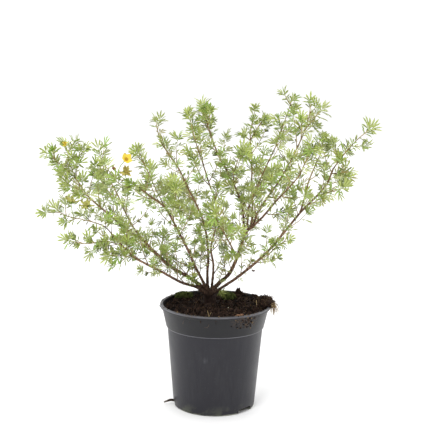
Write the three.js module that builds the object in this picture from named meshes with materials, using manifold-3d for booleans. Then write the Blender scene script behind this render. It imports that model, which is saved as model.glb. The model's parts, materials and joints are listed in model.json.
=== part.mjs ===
// A potted shrubby cinquefoil at its real size: nursery container, compost, rootstock, woody stems,
// leafy shoots and flowers.
// Millimetres, +Z up. The origin is the centre of the pot's underside; +X is right and +Y is away from
// the front.
import * as THREE from "three";
import { mergeVertices } from "three/addons/utils/BufferGeometryUtils.js";
import Module from "manifold-3d";

const wasm = await Module();
wasm.setup();

// Driving dimensions of the container
const POT = {
  height: 160,
  rimRadius: 85,
  lipHeight: 6,
  collarTopRadius: 81.6,
  collarFootHeight: 125,
  collarFootRadius: 75,
  bodyTopRadius: 73.2,
  footRadius: 62.5,
  wall: 1.6,
  floor: 5,
  segments: 36,
};

// The underside stands on a middle disc and an outer ring; drain notches cut the ring and the wall
const UNDERSIDE = { discRadius: 30, ringRadius: 52, recess: 3 };
const DRAIN = { angles: [-40, -176, 72], arc: 27, height: 7, innerRadius: 54, outerRadius: 68 };

// Compost level at the wall, its heap round the rootstock and its unevenness
const COMPOST = { level: 153, mound: 4, moundRadius: 34, rightRise: 3.5, lumps: 1.3, rings: 5 };

// Clearance kept between neighbouring pieces
const GAP = 0.3;

// Where the shrub was measured from: the spot that its front measurements look from
const EYE = new THREE.Vector3(-5, -1600, 573);

// Leaf with five leaflets, as one flat piece
const LEAF = {
  petiole: 8,
  width: 0.8,
  thickness: 0.9,
  fingers: [
    { angle: -78, length: 9 },
    { angle: -38, length: 12.5 },
    { angle: 0, length: 14 },
    { angle: 38, length: 12.5 },
    { angle: 78, length: 9 },
  ],
  valley: 3.4,
  lean: 58,
};
const GOLDEN_ANGLE = 137.5;

const FINISH = {
  pot: { color: 0x3c3c42, roughness: 0.45 },
  compost: { color: 0x24170f, roughness: 1 },
  bark: { color: 0x4a2c22, roughness: 0.85 },
  moss: { color: 0x55802a, roughness: 1 },
  shoot: { color: 0x8fa668, roughness: 0.7 },
  petal: { color: 0xe3bd22, roughness: 0.6 },
  fadedPetal: { color: 0x9a6a2c, roughness: 0.8 },
};

// Woody stems. Each knot is [across, up, depth]: the first two as measured on the upright plane through
// the pot's axis, the third its distance behind (+) or before (-) that plane.
const STEMS = [
  { name: "stem_left", radii: [3.1, 2.0],
    route: [[-16, 176, 0], [-25, 188, -3], [-42, 200, -8], [-68, 215, -14], [-95, 239, -12], [-114, 259, -4]] },
  { name: "stem_low_left", radii: [2.3, 1.2],
    route: [[-14, 173, -7], [-27, 183, -15], [-52, 191, -32], [-84, 208, -58], [-117, 225, -82],
      [-137, 241, -96], [-155, 260, -106]] },
  { name: "stem_centre_left", radii: [2.2, 1.0],
    route: [[-14, 180, -3], [-20, 194, -10], [-28, 209, -18], [-41, 238, -34], [-54, 263, -50], [-66, 286, -64],
      [-78, 306, -76], [-101, 324, -96], [-125, 341, -112], [-141, 350, -120]] },
  { name: "stem_back_left", radii: [2.1, 1.0],
    route: [[-12, 181, 6], [-13, 205, 14], [-12, 235, 26], [-18, 279, 42], [-29, 308, 54], [-42, 333, 68],
      [-58, 366, 86], [-74, 388, 100]] },
  { name: "stem_centre", radii: [1.8, 1.0],
    route: [[-6, 180, 4], [-4, 219, 16], [-8, 245, 26], [-1, 281, 32], [-3, 321, 28], [-11, 341, 22],
      [-22, 374, 12]] },
  { name: "stem_right", radii: [3.0, 2.0],
    route: [[-6, 177, 0], [4, 190, 3], [19, 204, 8], [31, 229, 14], [40, 258, 20], [46, 272, 23], [56, 281, 26]] },
  { name: "stem_low_right", radii: [2.3, 1.2],
    route: [[-6, 174, -6], [8, 183, -14], [36, 203, -28], [76, 239, -44], [103, 272, -54], [126, 302, -60],
      [150, 328, -64], [164, 345, -66], [174, 371, -68]] },
  { name: "stem_tall", radii: [1.9, 1.0],
    route: [[43, 266, 22], [41, 284, 28], [39, 305, 36], [34, 324, 46], [14, 365, 74], [-4, 399, 96],
      [-13, 424, 106]] },
  { name: "stem_right_tall", radii: [1.8, 0.9],
    route: [[55, 280, 26], [61, 299, 20], [71, 317, 8], [93, 350, -12], [112, 386, -32], [125, 415, -46]] },
  { name: "stem_right_front", radii: [1.8, 0.9],
    route: [[54, 279, 25], [68, 293, 4], [89, 319, -38], [108, 340, -70], [123, 358, -94]] },
  { name: "stem_rear", radii: [1.6, 0.9],
    route: [[52, 278, 25], [54, 300, 52], [52, 335, 86], [51, 379, 122], [49, 404, 138]] },
  { name: "stem_right_back", radii: [1.5, 0.9],
    route: [[47, 273, 23], [47, 290, 38], [49, 311, 56], [58, 335, 74], [73, 372, 92], [88, 405, 104]] },
  { name: "stem_left_back", radii: [1.6, 0.9],
    route: [[-112, 257, -5], [-124, 272, 14], [-138, 298, 40], [-147, 319, 62], [-158, 340, 84]] },
  { name: "stem_far_left", radii: [1.7, 0.9],
    route: [[-113, 258, -5], [-131, 268, -12], [-161, 293, -22], [-194, 322, -28], [-213, 350, -30]] },
  { name: "stem_right_outer", radii: [1.4, 0.9],
    route: [[126, 302, -60], [132, 326, -50], [138, 352, -36], [148, 378, -18]] },
  { name: "stem_front", radii: [1.3, 0.9],
    route: [[30, 228, 14], [27, 240, -8], [16, 261, -48], [5, 280, -88]] },
];

// Leafy shoots of this year's growth, with the same kind of knots. A fork is a second axis of the shoot.
const SHOOTS = [
  { name: "shoot_left_back", leaves: 4,
    route: [[-157, 338, 82], [-168, 358, 98], [-175, 378, 112], [-178, 396, 122]] },
  { name: "shoot_far_left_low", leaves: 4,
    route: [[-212, 349, -30], [-231, 365, -38], [-248, 381, -44], [-258, 391, -48]] },
  { name: "shoot_far_left_top", leaves: 3,
    route: [[-212, 348, -30], [-222, 372, -20], [-225, 390, -12], [-228, 402, -8]],
    fork: [[-217, 362, -24], [-209, 378, -34], [-205, 394, -42]] },
  { name: "shoot_far_left_side", leaves: 3,
    route: [[-190, 318, -28], [-203, 329, -46], [-214, 335, -62], [-228, 341, -76]] },
  { name: "shoot_left_inner", leaves: 4,
    route: [[-94, 238, -12], [-114, 249, -34], [-130, 258, -50], [-143, 268, -62]] },
  { name: "shoot_left_upright", leaves: 4,
    route: [[-84, 229, -13], [-84, 242, 4], [-82, 254, 16], [-78, 272, 28]] },
  { name: "shoot_left_thin", leaves: 4,
    route: [[-40, 199, -7], [-52, 212, 8], [-62, 222, 20], [-78, 236, 36]] },
  { name: "shoot_low_left_end", leaves: 4,
    route: [[-154, 259, -105], [-170, 276, -112], [-201, 286, -118], [-225, 291, -120], [-247, 302, -118]] },
  { name: "shoot_low_left_mid", leaves: 4,
    route: [[-144, 248, -100], [-170, 253, -122], [-199, 249, -138], [-230, 255, -150]] },
  { name: "shoot_low_left_near", leaves: 3,
    route: [[-124, 231, -87], [-145, 231, -112], [-166, 232, -134]] },
  { name: "shoot_centre_left_up", leaves: 4,
    route: [[-78, 306, -76], [-94, 338, -72], [-107, 366, -66], [-120, 396, -58]] },
  { name: "shoot_centre_left_thin", leaves: 3,
    route: [[-65, 284, -63], [-66, 306, -84], [-62, 328, -100], [-64, 345, -108]] },
  { name: "shoot_back_left", leaves: 4,
    route: [[-73, 387, 99], [-84, 404, 106], [-91, 426, 110], [-93, 442, 112]] },
  { name: "shoot_back_left_side", leaves: 4,
    route: [[-35, 319, 60], [-50, 328, 90], [-64, 334, 118], [-80, 340, 142]] },
  { name: "shoot_rear_left", leaves: 4,
    route: [[-18, 280, 43], [-32, 298, 82], [-50, 312, 122], [-66, 322, 158]] },
  { name: "shoot_centre", leaves: 4,
    route: [[-21, 372, 13], [-30, 396, 6], [-38, 424, -4], [-43, 446, -10]] },
  { name: "shoot_tall", leaves: 3,
    route: [[-12, 422, 105], [-19, 440, 110], [-25, 467, 116]],
    fork: [[-16, 430, 107], [-13, 442, 94], [-14, 454, 86]] },
  { name: "shoot_centre_thin", leaves: 4,
    route: [[34, 322, 46], [24, 350, 26], [30, 380, 8], [37, 398, 0]] },
  { name: "shoot_rear", leaves: 3,
    route: [[49, 402, 137], [48, 423, 150], [52, 444, 160], [55, 460, 166]],
    fork: [[49, 412, 143], [58, 428, 130], [67, 443, 118]] },
  { name: "shoot_rear_right", leaves: 4,
    route: [[52, 328, 80], [62, 344, 116], [76, 356, 150], [90, 366, 180]] },
  { name: "shoot_right_back", leaves: 4,
    route: [[87, 403, 103], [97, 434, 110], [104, 456, 114], [110, 475, 118]] },
  { name: "shoot_right_tall", leaves: 3,
    route: [[124, 413, -45], [132, 436, -56], [136, 456, -64], [136, 474, -70]],
    fork: [[129, 427, -52], [142, 444, -42], [155, 460, -32]] },
  { name: "shoot_right_front", leaves: 4,
    route: [[122, 357, -93], [131, 378, -106], [137, 398, -114], [139, 410, -118]] },
  { name: "shoot_right_outer", leaves: 4,
    route: [[147, 376, -19], [155, 396, -8], [158, 416, 0]] },
  { name: "shoot_low_right", leaves: 3,
    route: [[173, 369, -68], [190, 393, -76], [208, 414, -82], [230, 433, -88]],
    fork: [[179, 379, -71], [177, 396, -50], [173, 411, -36]] },
  { name: "shoot_low_right_spray", leaves: 4,
    route: [[170, 362, -67], [186, 364, -90], [202, 366, -108], [218, 373, -122]] },
  { name: "shoot_low_right_side", leaves: 4,
    route: [[149, 327, -64], [168, 334, -86], [186, 339, -104], [204, 348, -120]] },
  { name: "shoot_low_right_twig", leaves: 4,
    route: [[60, 225, -38], [76, 234, -58], [98, 254, -86], [130, 266, -112]] },
  { name: "shoot_front", leaves: 4,
    route: [[6, 278, -86], [1, 288, -108], [-2, 300, -126]] },
  { name: "shoot_basal", leaves: 3,
    route: [[-4, 171, 4], [3, 175, 11], [10, 180, 18]] },
];
const SHOOT_RADII = [0.95, 0.6];

// Sides round a limb and steps between two of its knots
const WOOD_MESH = { sides: 6, stepsPerSpan: 2 };
const SHOOT_MESH = { sides: 4, stepsPerSpan: 1 };

// Flowers on their stalks: "open" has spread petals, "faded" is withered and half closed
const FLOWERS = [
  { name: "flower_open", kind: "open",
    stalk: [[-140, 349, -119], [-149, 358, -122], [-146, 368, -126], [-138, 378, -130]] },
  { name: "flower_faded_high", kind: "faded",
    stalk: [[-136, 347, -118], [-138, 355, -128], [-138, 362, -136]] },
  { name: "flower_far_left", kind: "faded",
    stalk: [[-228, 401, -9], [-230, 406, -10], [-230, 412, -12]] },
  { name: "flower_low_left_outer", kind: "faded",
    stalk: [[-216, 289, -119], [-219, 303, -123], [-220, 314, -125]] },
  { name: "flower_low_left_inner", kind: "faded",
    stalk: [[-196, 285, -117], [-199, 300, -124], [-201, 311, -128]] },
];
const FLOWER = { stalkRadius: 0.6, openRadius: 8, fadedRadius: 4.6, cup: 2.4, petals: 5, thickness: 1 };

// Lumpy bodies: centre, half sizes and depth of their unevenness
const CROWN = { centre: [-9, 2, 166], half: [13, 11.5, 21], lumps: 0.12 };
const MOSSES = [
  { name: "moss_left", centre: [-50, 50, 157], half: [14, 9, 5], lumps: 0.12 },
  { name: "moss_right", centre: [20, 38, 159], half: [10, 9, 6], lumps: 0.12 },
];
const SPILL = { centre: [79, 4, 160], half: [16, 24, 10], lumps: 0.16 };
const BARK_CHIP = { centre: [35, 62, 161], half: [5, 3, 9], lumps: 0.2 };
const DRAIN_ROOT = { radii: [1.2, 0.7], route: [[-55, -8, 4], [-62, -11, 4.6], [-70, -12, 6], [-79, -13, 2.4]] };

// The true place of a knot: on the line of sight through its measured spot, at its depth
function sighted([across, up, depth]) {
  const spot = new THREE.Vector3(across, 0, up);
  return spot.sub(EYE).multiplyScalar(1 - depth / EYE.y).add(EYE);
}

// A closed geometry as a solid
function solidOf(geometry) {
  const bare = new THREE.BufferGeometry().setAttribute("position", geometry.getAttribute("position").clone());
  if (geometry.index) bare.setIndex(geometry.index.clone());
  const merged = mergeVertices(bare, 1e-4);
  const corners = merged.index.array;
  const kept = [];
  for (let i = 0; i < corners.length; i += 3) {
    const [a, b, c] = corners.slice(i, i + 3);
    if (a !== b && b !== c && c !== a) kept.push(a, b, c);
  }
  const mesh = new wasm.Mesh({
    numProp: 3,
    vertProperties: merged.getAttribute("position").array,
    triVerts: new Uint32Array(kept),
  });
  return new wasm.Manifold(mesh);
}

// A solid back as a geometry with a normal for each face
function geometryOf(solid) {
  const { numProp, vertProperties, triVerts } = solid.getMesh();
  const count = vertProperties.length / numProp;
  const positions = new Float32Array(count * 3);
  for (let i = 0; i < count; i += 1) {
    positions.set(vertProperties.subarray(i * numProp, i * numProp + 3), i * 3);
  }
  const geometry = new THREE.BufferGeometry();
  geometry.setAttribute("position", new THREE.BufferAttribute(positions, 3));
  geometry.setIndex(new THREE.BufferAttribute(new Uint32Array(triVerts), 1));
  const flat = geometry.toNonIndexed();
  flat.computeVertexNormals();
  return flat;
}

// A body of revolution about the Z axis from [radius, height] pairs
function turned(profile, segments = POT.segments) {
  const points = profile.map(([radius, height]) => new THREE.Vector2(radius, height));
  return new THREE.LatheGeometry(points, segments).rotateX(Math.PI / 2);
}

// A round tapering limb with closed ends along a smooth curve through the points
function limb(points, [startRadius, endRadius], extra = 0, { sides, stepsPerSpan } = WOOD_MESH) {
  const curve = new THREE.CatmullRomCurve3(points, false, "centripetal");
  const steps = (points.length - 1) * stepsPerSpan;
  const frames = curve.computeFrenetFrames(steps, false);
  const positions = [];
  const faces = [];
  for (let i = 0; i <= steps; i += 1) {
    const centre = curve.getPointAt(i / steps);
    const radius = THREE.MathUtils.lerp(startRadius, endRadius, i / steps) + extra;
    for (let j = 0; j < sides; j += 1) {
      const angle = (2 * Math.PI * j) / sides;
      const vertex = centre.clone()
        .addScaledVector(frames.normals[i], radius * Math.cos(angle))
        .addScaledVector(frames.binormals[i], radius * Math.sin(angle));
      positions.push(...vertex);
    }
  }
  const startTip = curve.getPointAt(0).addScaledVector(frames.tangents[0], -extra);
  const endTip = curve.getPointAt(1).addScaledVector(frames.tangents[steps], endRadius * 0.6 + extra);
  positions.push(...startTip, ...endTip);
  const startIndex = (steps + 1) * sides;
  const endIndex = startIndex + 1;
  for (let j = 0; j < sides; j += 1) {
    const next = (j + 1) % sides;
    for (let i = 0; i < steps; i += 1) {
      const low = i * sides;
      const high = low + sides;
      faces.push(low + j, low + next, high + next, low + j, high + next, high + j);
    }
    faces.push(startIndex, next, j);
    faces.push(endIndex, steps * sides + j, steps * sides + next);
  }
  const geometry = new THREE.BufferGeometry();
  geometry.setAttribute("position", new THREE.Float32BufferAttribute(positions, 3));
  geometry.setIndex(faces);
  return geometry;
}

// An uneven rounded body, larger all round by extra
function lump({ centre, half, lumps }, extra = 0, detail = 2) {
  const geometry = new THREE.IcosahedronGeometry(1, detail);
  const position = geometry.getAttribute("position");
  const direction = new THREE.Vector3();
  for (let i = 0; i < position.count; i += 1) {
    direction.fromBufferAttribute(position, i);
    const wave = Math.sin(5 * direction.x + 1) * Math.cos(4 * direction.y) + Math.sin(6 * direction.z + 2);
    const scale = 1 + (lumps * wave) / 2;
    position.setXYZ(
      i,
      centre[0] + direction.x * (half[0] * scale + extra),
      centre[1] + direction.y * (half[1] * scale + extra),
      centre[2] + direction.z * (half[2] * scale + extra),
    );
  }
  return geometry;
}

// Radius of the pot's inner face at a height
function innerRadius(height) {
  const { collarFootHeight, bodyTopRadius, footRadius, collarTopRadius, collarFootRadius, wall } = POT;
  if (height <= collarFootHeight) {
    const share = height / collarFootHeight;
    return THREE.MathUtils.lerp(footRadius, bodyTopRadius, share) - wall;
  }
  const share = (height - collarFootHeight) / (POT.height - POT.lipHeight - collarFootHeight);
  return THREE.MathUtils.lerp(collarFootRadius, collarTopRadius, Math.min(share, 1)) - wall;
}

// One drain notch, cut through the foot ring and the wall
function drainNotch(angle) {
  const { arc, height, innerRadius: near, outerRadius: far } = DRAIN;
  const outline = new THREE.Shape();
  const start = THREE.MathUtils.degToRad(angle - arc / 2);
  const end = THREE.MathUtils.degToRad(angle + arc / 2);
  outline.absarc(0, 0, far, start, end, false);
  outline.absarc(0, 0, near, end, start, true);
  const geometry = new THREE.ExtrudeGeometry(outline, { depth: height + 1, bevelEnabled: false, curveSegments: 4 });
  return geometry.translate(0, 0, -1);
}

// Tapered container with a rolled lip, a stepped collar and a foot ring with three drain notches
function potSolid() {
  const { height, rimRadius, lipHeight, collarTopRadius, collarFootHeight, collarFootRadius } = POT;
  const { bodyTopRadius, footRadius, wall, floor } = POT;
  const { discRadius, ringRadius, recess } = UNDERSIDE;
  const lipFoot = height - lipHeight;
  const round = 1.5;
  const profile = [
    [0, 0],
    [discRadius, 0],
    [discRadius + recess, recess],
    [ringRadius - recess, recess],
    [ringRadius, 0],
    [footRadius - round, 0],
    [footRadius, round],
    [bodyTopRadius, collarFootHeight - 1],
    [collarFootRadius, collarFootHeight],
    [collarTopRadius, lipFoot],
    [rimRadius - 0.6, lipFoot + 0.6],
    [rimRadius, lipFoot + 2.5],
    [rimRadius - 0.8, height - 0.8],
    [rimRadius - 2.4, height],
    [collarTopRadius - wall + 0.4, height - 1],
    [collarTopRadius - wall, lipFoot],
    [collarFootRadius - wall, collarFootHeight],
    [innerRadius(collarFootHeight - 1), collarFootHeight - 1],
    [innerRadius(floor), floor],
    [0, floor],
  ];
  const notches = DRAIN.angles.map((angle) => solidOf(drainNotch(angle)));
  return notches.reduce((pot, notch) => pot.subtract(notch), solidOf(turned(profile)));
}

// Height of the compost's surface
function compostHeight(x, y) {
  const radius = Math.hypot(x, y);
  const mound = COMPOST.mound * Math.exp(-((radius / COMPOST.moundRadius) ** 2));
  const rise = COMPOST.rightRise * THREE.MathUtils.smoothstep(x, 0, POT.rimRadius);
  const waves = Math.sin(0.23 * x + 1) * Math.cos(0.19 * y) + 0.8 * Math.sin(0.11 * x - 0.13 * y);
  return COMPOST.level + mound + rise + COMPOST.lumps * waves;
}

// Compost that fills the pot: the inner face all round, an uneven top
function compostSolid(extra = 0) {
  const { collarFootHeight, floor } = POT;
  const lowestEdge = COMPOST.level - 3;
  const heights = [floor + GAP, collarFootHeight - 1, collarFootHeight + 1, lowestEdge];
  const profile = [[0, heights[0]], ...heights.map((height) => [innerRadius(height) - GAP + extra, height])];
  const edge = innerRadius(lowestEdge) - GAP + extra;
  for (let ring = 0; ring <= COMPOST.rings; ring += 1) {
    profile.push([edge * (1 - ring / COMPOST.rings), COMPOST.level]);
  }
  const geometry = turned(profile);
  const position = geometry.getAttribute("position");
  for (let i = 0; i < position.count; i += 1) {
    if (position.getZ(i) > COMPOST.level - 1) {
      position.setZ(i, compostHeight(position.getX(i), position.getY(i)) + extra);
    }
  }
  return solidOf(geometry);
}

// The pot's lip and wall top, thicker by the gap, for what lies over it
function lipKeepOut() {
  const top = POT.height + GAP;
  const profile = [
    [POT.collarFootRadius - POT.wall - GAP, POT.collarFootHeight],
    [POT.collarFootRadius + GAP, POT.collarFootHeight],
    [POT.collarTopRadius + GAP, POT.height - POT.lipHeight - GAP],
    [POT.rimRadius + GAP, POT.height - POT.lipHeight - GAP],
    [POT.rimRadius + GAP, top],
    [POT.collarTopRadius - POT.wall - GAP, top],
    [POT.collarTopRadius - POT.wall - GAP, POT.height - POT.lipHeight],
    [POT.collarFootRadius - POT.wall - GAP, POT.collarFootHeight],
  ];
  return solidOf(turned(profile));
}

// The largest body of a solid
function largest(solid) {
  return solid.decompose().reduce((best, body) => (body.volume() > best.volume() ? body : best));
}

// Flat leaf with a petiole and five pointed leaflets: +X is its length and +Z its upper face
function leafGeometry(extra = 0) {
  const outline = new THREE.Shape();
  const halfWidth = LEAF.width / 2 + extra;
  const at = (angle, length) => {
    const turn = THREE.MathUtils.degToRad(angle);
    return [LEAF.petiole + length * Math.cos(turn), length * Math.sin(turn)];
  };
  outline.moveTo(0, -halfWidth);
  outline.lineTo(LEAF.petiole - 1, -halfWidth);
  LEAF.fingers.forEach(({ angle, length }, index) => {
    outline.lineTo(...at(angle, length + extra));
    const following = LEAF.fingers[index + 1];
    if (following) outline.lineTo(...at((angle + following.angle) / 2, LEAF.valley + extra));
  });
  outline.lineTo(LEAF.petiole - 1, halfWidth);
  outline.lineTo(0, halfWidth);
  const depth = LEAF.thickness + 2 * extra;
  const geometry = new THREE.ExtrudeGeometry(outline, { depth, bevelEnabled: false, curveSegments: 1 });
  return geometry.translate(0, 0, -depth / 2);
}

// Places of the leaves on an axis: turned by the golden angle from one to the next, the last at the tip
function leafPlaces(points, count, firstTurn) {
  const curve = new THREE.CatmullRomCurve3(points, false, "centripetal");
  const places = [];
  for (let i = 0; i < count; i += 1) {
    const share = 0.3 + (0.68 * i) / Math.max(count - 1, 1);
    const centre = curve.getPointAt(share);
    const tangent = curve.getTangentAt(share);
    const side = new THREE.Vector3(0, 0, 1).cross(tangent).normalize();
    const turn = THREE.MathUtils.degToRad(firstTurn + GOLDEN_ANGLE * i);
    const outward = side.applyAxisAngle(tangent, turn);
    const isTip = i === count - 1;
    const lean = THREE.MathUtils.degToRad(isTip ? 12 : LEAF.lean);
    const along = tangent.clone().multiplyScalar(Math.cos(lean)).addScaledVector(outward, Math.sin(lean));
    const upper = tangent.clone().multiplyScalar(Math.sin(lean)).addScaledVector(outward, -Math.cos(lean));
    const across = upper.clone().cross(along);
    places.push(new THREE.Matrix4().makeBasis(along, across, upper).setPosition(centre));
  }
  return places;
}

// A flower head on its stalk: a cup of five petals round a small boss, along the stalk's end
function flowerSolid({ stalk, kind }, extra = 0) {
  const points = stalk.map(sighted);
  const curve = new THREE.CatmullRomCurve3(points, false, "centripetal");
  const facing = curve.getTangentAt(1);
  const radius = (kind === "open" ? FLOWER.openRadius : FLOWER.fadedRadius) + extra;
  const outline = new THREE.Shape();
  const corners = FLOWER.petals * 2;
  for (let i = 0; i < corners; i += 1) {
    const turn = (2 * Math.PI * i) / corners;
    const reach = i % 2 ? radius * 0.55 : radius;
    const corner = [reach * Math.cos(turn), reach * Math.sin(turn)];
    if (i === 0) outline.moveTo(...corner);
    else outline.lineTo(...corner);
  }
  const petals = new THREE.ExtrudeGeometry(outline, { depth: FLOWER.thickness + extra, bevelEnabled: false });
  const boss = new THREE.CylinderGeometry(FLOWER.cup + extra, 0.7 + extra, 3 + 2 * extra, 5).rotateX(Math.PI / 2);
  const turn = new THREE.Quaternion().setFromUnitVectors(new THREE.Vector3(0, 0, 1), facing);
  const end = curve.getPointAt(1);
  const placed = [petals, boss].map((piece) => solidOf(piece.applyQuaternion(turn).translate(...end)));
  const radii = [FLOWER.stalkRadius, FLOWER.stalkRadius];
  return placed.reduce((whole, piece) => whole.add(piece), solidOf(limb(points, radii, extra, SHOOT_MESH)));
}

const shrub = new THREE.Group();
const pieces = [];

// Adds a finished piece, with the space that later pieces keep clear of
function keep(name, finish, solid, space = solid) {
  pieces.push({ name, finish, solid, space });
}

// A solid less the space of every piece so far, as one body
function clearOf(solid, others = pieces) {
  const cut = others.reduce((rest, { space }) => rest.subtract(space), solid);
  return largest(cut);
}

// True where a solid meets no finished piece other than the named one
function isClear(solid, ownName) {
  return pieces.every(({ name, solid: other }) => name === ownName || other.intersect(solid).isEmpty());
}

// Container, compost, rootstock and what lies on the compost
const crown = solidOf(lump(CROWN));
const crownSpace = solidOf(lump(CROWN, GAP));
const pot = potSolid();
const compostSpace = compostSolid(GAP);
keep("pot", "pot", pot);
keep("compost", "compost", compostSolid().subtract(crownSpace));
keep("rootstock", "bark", crown, crownSpace);
for (const moss of MOSSES) {
  const mound = solidOf(lump(moss)).subtract(compostSpace).subtract(lipKeepOut()).subtract(crownSpace);
  keep(moss.name, "moss", largest(mound), solidOf(lump(moss, GAP)));
}
keep("compost_spill", "compost", largest(solidOf(lump(SPILL)).subtract(compostSpace).subtract(lipKeepOut())));
keep("bark_chip", "bark", largest(solidOf(lump(BARK_CHIP, 0, 1)).subtract(compostSpace).subtract(lipKeepOut())));
const rootPoints = DRAIN_ROOT.route.map((knot) => new THREE.Vector3(...knot));
keep("drain_root", "bark", largest(solidOf(limb(rootPoints, DRAIN_ROOT.radii)).subtract(compostSolid(GAP))));

// Woody stems, each cut back where it leaves the piece that carries it
for (const { name, radii, route } of STEMS) {
  const points = route.map(sighted);
  const solid = clearOf(solidOf(limb(points, radii)));
  keep(name, "bark", solid, solidOf(limb(points, radii, GAP)));
}

// Axes of the leafy shoots
for (const { name, route, fork } of SHOOTS) {
  const routes = fork ? [route, fork] : [route];
  const axes = routes.map((knots) => solidOf(limb(knots.map(sighted), SHOOT_RADII, 0, SHOOT_MESH)));
  const spaces = routes.map((knots) => solidOf(limb(knots.map(sighted), SHOOT_RADII, GAP, SHOOT_MESH)));
  const whole = axes.reduce((sum, axis) => sum.add(axis));
  keep(name, "shoot", clearOf(whole), spaces.reduce((sum, space) => sum.add(space)));
}

// Flowers on their stalks
for (const flower of FLOWERS) {
  const finish = flower.kind === "open" ? "petal" : "fadedPetal";
  keep(flower.name, finish, clearOf(flowerSolid(flower)), flowerSolid(flower, GAP));
}

// Leaves on every shoot, left out where one would touch another piece
const leaf = leafGeometry();
const leafSpace = leafGeometry(GAP);
for (const [order, { name, route, fork, leaves }] of SHOOTS.entries()) {
  const piece = pieces.find((candidate) => candidate.name === name);
  const routes = fork ? [route, fork] : [route];
  for (const knots of routes) {
    for (const place of leafPlaces(knots.map(sighted), leaves, 40 * order)) {
      const space = solidOf(leafSpace.clone().applyMatrix4(place));
      if (isClear(space, name)) {
        piece.solid = piece.solid.add(solidOf(leaf.clone().applyMatrix4(place)));
      }
    }
  }
  piece.solid = largest(piece.solid);
}

for (const { name, finish, solid } of pieces) {
  const material = new THREE.MeshStandardMaterial({ ...FINISH[finish], metalness: 0 });
  const mesh = new THREE.Mesh(geometryOf(solid), material);
  mesh.name = name;
  shrub.add(mesh);
}

export default shrub;
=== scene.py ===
"""Looks of a potted shrubby cinquefoil: pot, compost, rootstock, woody stems, leafy shoots and flowers.

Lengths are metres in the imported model's frame: +Z is up, +X is right and +Y points away from the front.
Routes are lists of knots in millimetres, as the model's own source gives them.
"""

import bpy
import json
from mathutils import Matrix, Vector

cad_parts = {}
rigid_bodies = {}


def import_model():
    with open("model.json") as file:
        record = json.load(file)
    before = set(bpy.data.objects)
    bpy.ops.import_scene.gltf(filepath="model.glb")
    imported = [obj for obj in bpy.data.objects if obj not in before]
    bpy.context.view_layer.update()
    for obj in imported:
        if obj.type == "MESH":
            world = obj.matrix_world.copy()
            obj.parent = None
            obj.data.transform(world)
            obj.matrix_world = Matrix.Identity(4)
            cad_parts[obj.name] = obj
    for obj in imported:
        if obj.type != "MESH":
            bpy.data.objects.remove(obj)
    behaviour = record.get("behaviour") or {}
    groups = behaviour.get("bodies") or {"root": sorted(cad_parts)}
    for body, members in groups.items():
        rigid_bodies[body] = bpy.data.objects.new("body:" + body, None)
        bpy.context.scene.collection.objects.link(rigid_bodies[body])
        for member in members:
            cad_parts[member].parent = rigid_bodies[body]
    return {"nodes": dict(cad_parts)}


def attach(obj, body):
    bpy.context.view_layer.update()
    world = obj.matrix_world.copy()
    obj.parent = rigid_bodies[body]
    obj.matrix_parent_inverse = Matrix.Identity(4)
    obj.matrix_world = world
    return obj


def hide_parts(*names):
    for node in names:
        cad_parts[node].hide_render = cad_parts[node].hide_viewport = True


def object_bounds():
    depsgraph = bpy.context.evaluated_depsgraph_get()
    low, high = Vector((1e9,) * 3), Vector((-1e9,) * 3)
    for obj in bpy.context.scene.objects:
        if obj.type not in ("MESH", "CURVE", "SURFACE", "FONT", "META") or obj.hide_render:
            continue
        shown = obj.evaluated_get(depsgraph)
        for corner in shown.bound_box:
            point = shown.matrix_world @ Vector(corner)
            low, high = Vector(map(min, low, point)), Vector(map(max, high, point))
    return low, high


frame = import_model()
CAD_BOX = [list(corner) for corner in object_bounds()]

import json
import logging
import math
import random
from dataclasses import dataclass, field
from enum import Enum
from typing import Any, Callable, ClassVar, Iterable, Sequence

import bmesh
import bpy
from mathutils import Matrix, Quaternion, Vector, noise

LOG = logging.getLogger("shrub")
MM = 0.001
EYE = Vector((-0.005, -1.6, 0.573))
GOLDEN_ANGLE = math.radians(137.5)
STEP = 0.0025
UP = Vector((0.0, 0.0, 1.0))

Knot = tuple[float, float, float]
Colour = tuple[float, float, float]
Face = tuple[int, ...]
Shape = tuple[list[Vector], list[Face]]
Socket = bpy.types.NodeSocket


# Routes of the wood


@dataclass(frozen=True)
class Twigs:
    """How side twigs stand on a line of growth: its bare share, then the twigs' gap and length in mm."""

    bare: float = 0.12
    gap: float = 15.0
    longest: float = 52.0


ORDINARY = Twigs()
SHORT = Twigs(0.2, 26.0, 18.0)
BUSHY = Twigs(0.1, 16.0, 22.0)


@dataclass(frozen=True)
class Stem:
    """A woody stem: its radii at both ends and its knots [across, up, depth], in millimetres."""

    name: str
    radii: tuple[float, float]
    route: tuple[Knot, ...]
    twigs: Twigs = ORDINARY

    @property
    def girths(self) -> tuple[float, float]:
        """Its radii in metres."""
        return self.radii[0] * MM, self.radii[1] * MM


@dataclass(frozen=True)
class Shoot:
    """A leafy shoot, perhaps forked, with knots as for stems and the steps that its wood stops short."""

    name: str
    route: tuple[Knot, ...]
    fork: tuple[Knot, ...] = ()
    vigour: float = 1.0
    short: int = 3
    twigs: Twigs = SHORT


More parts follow.
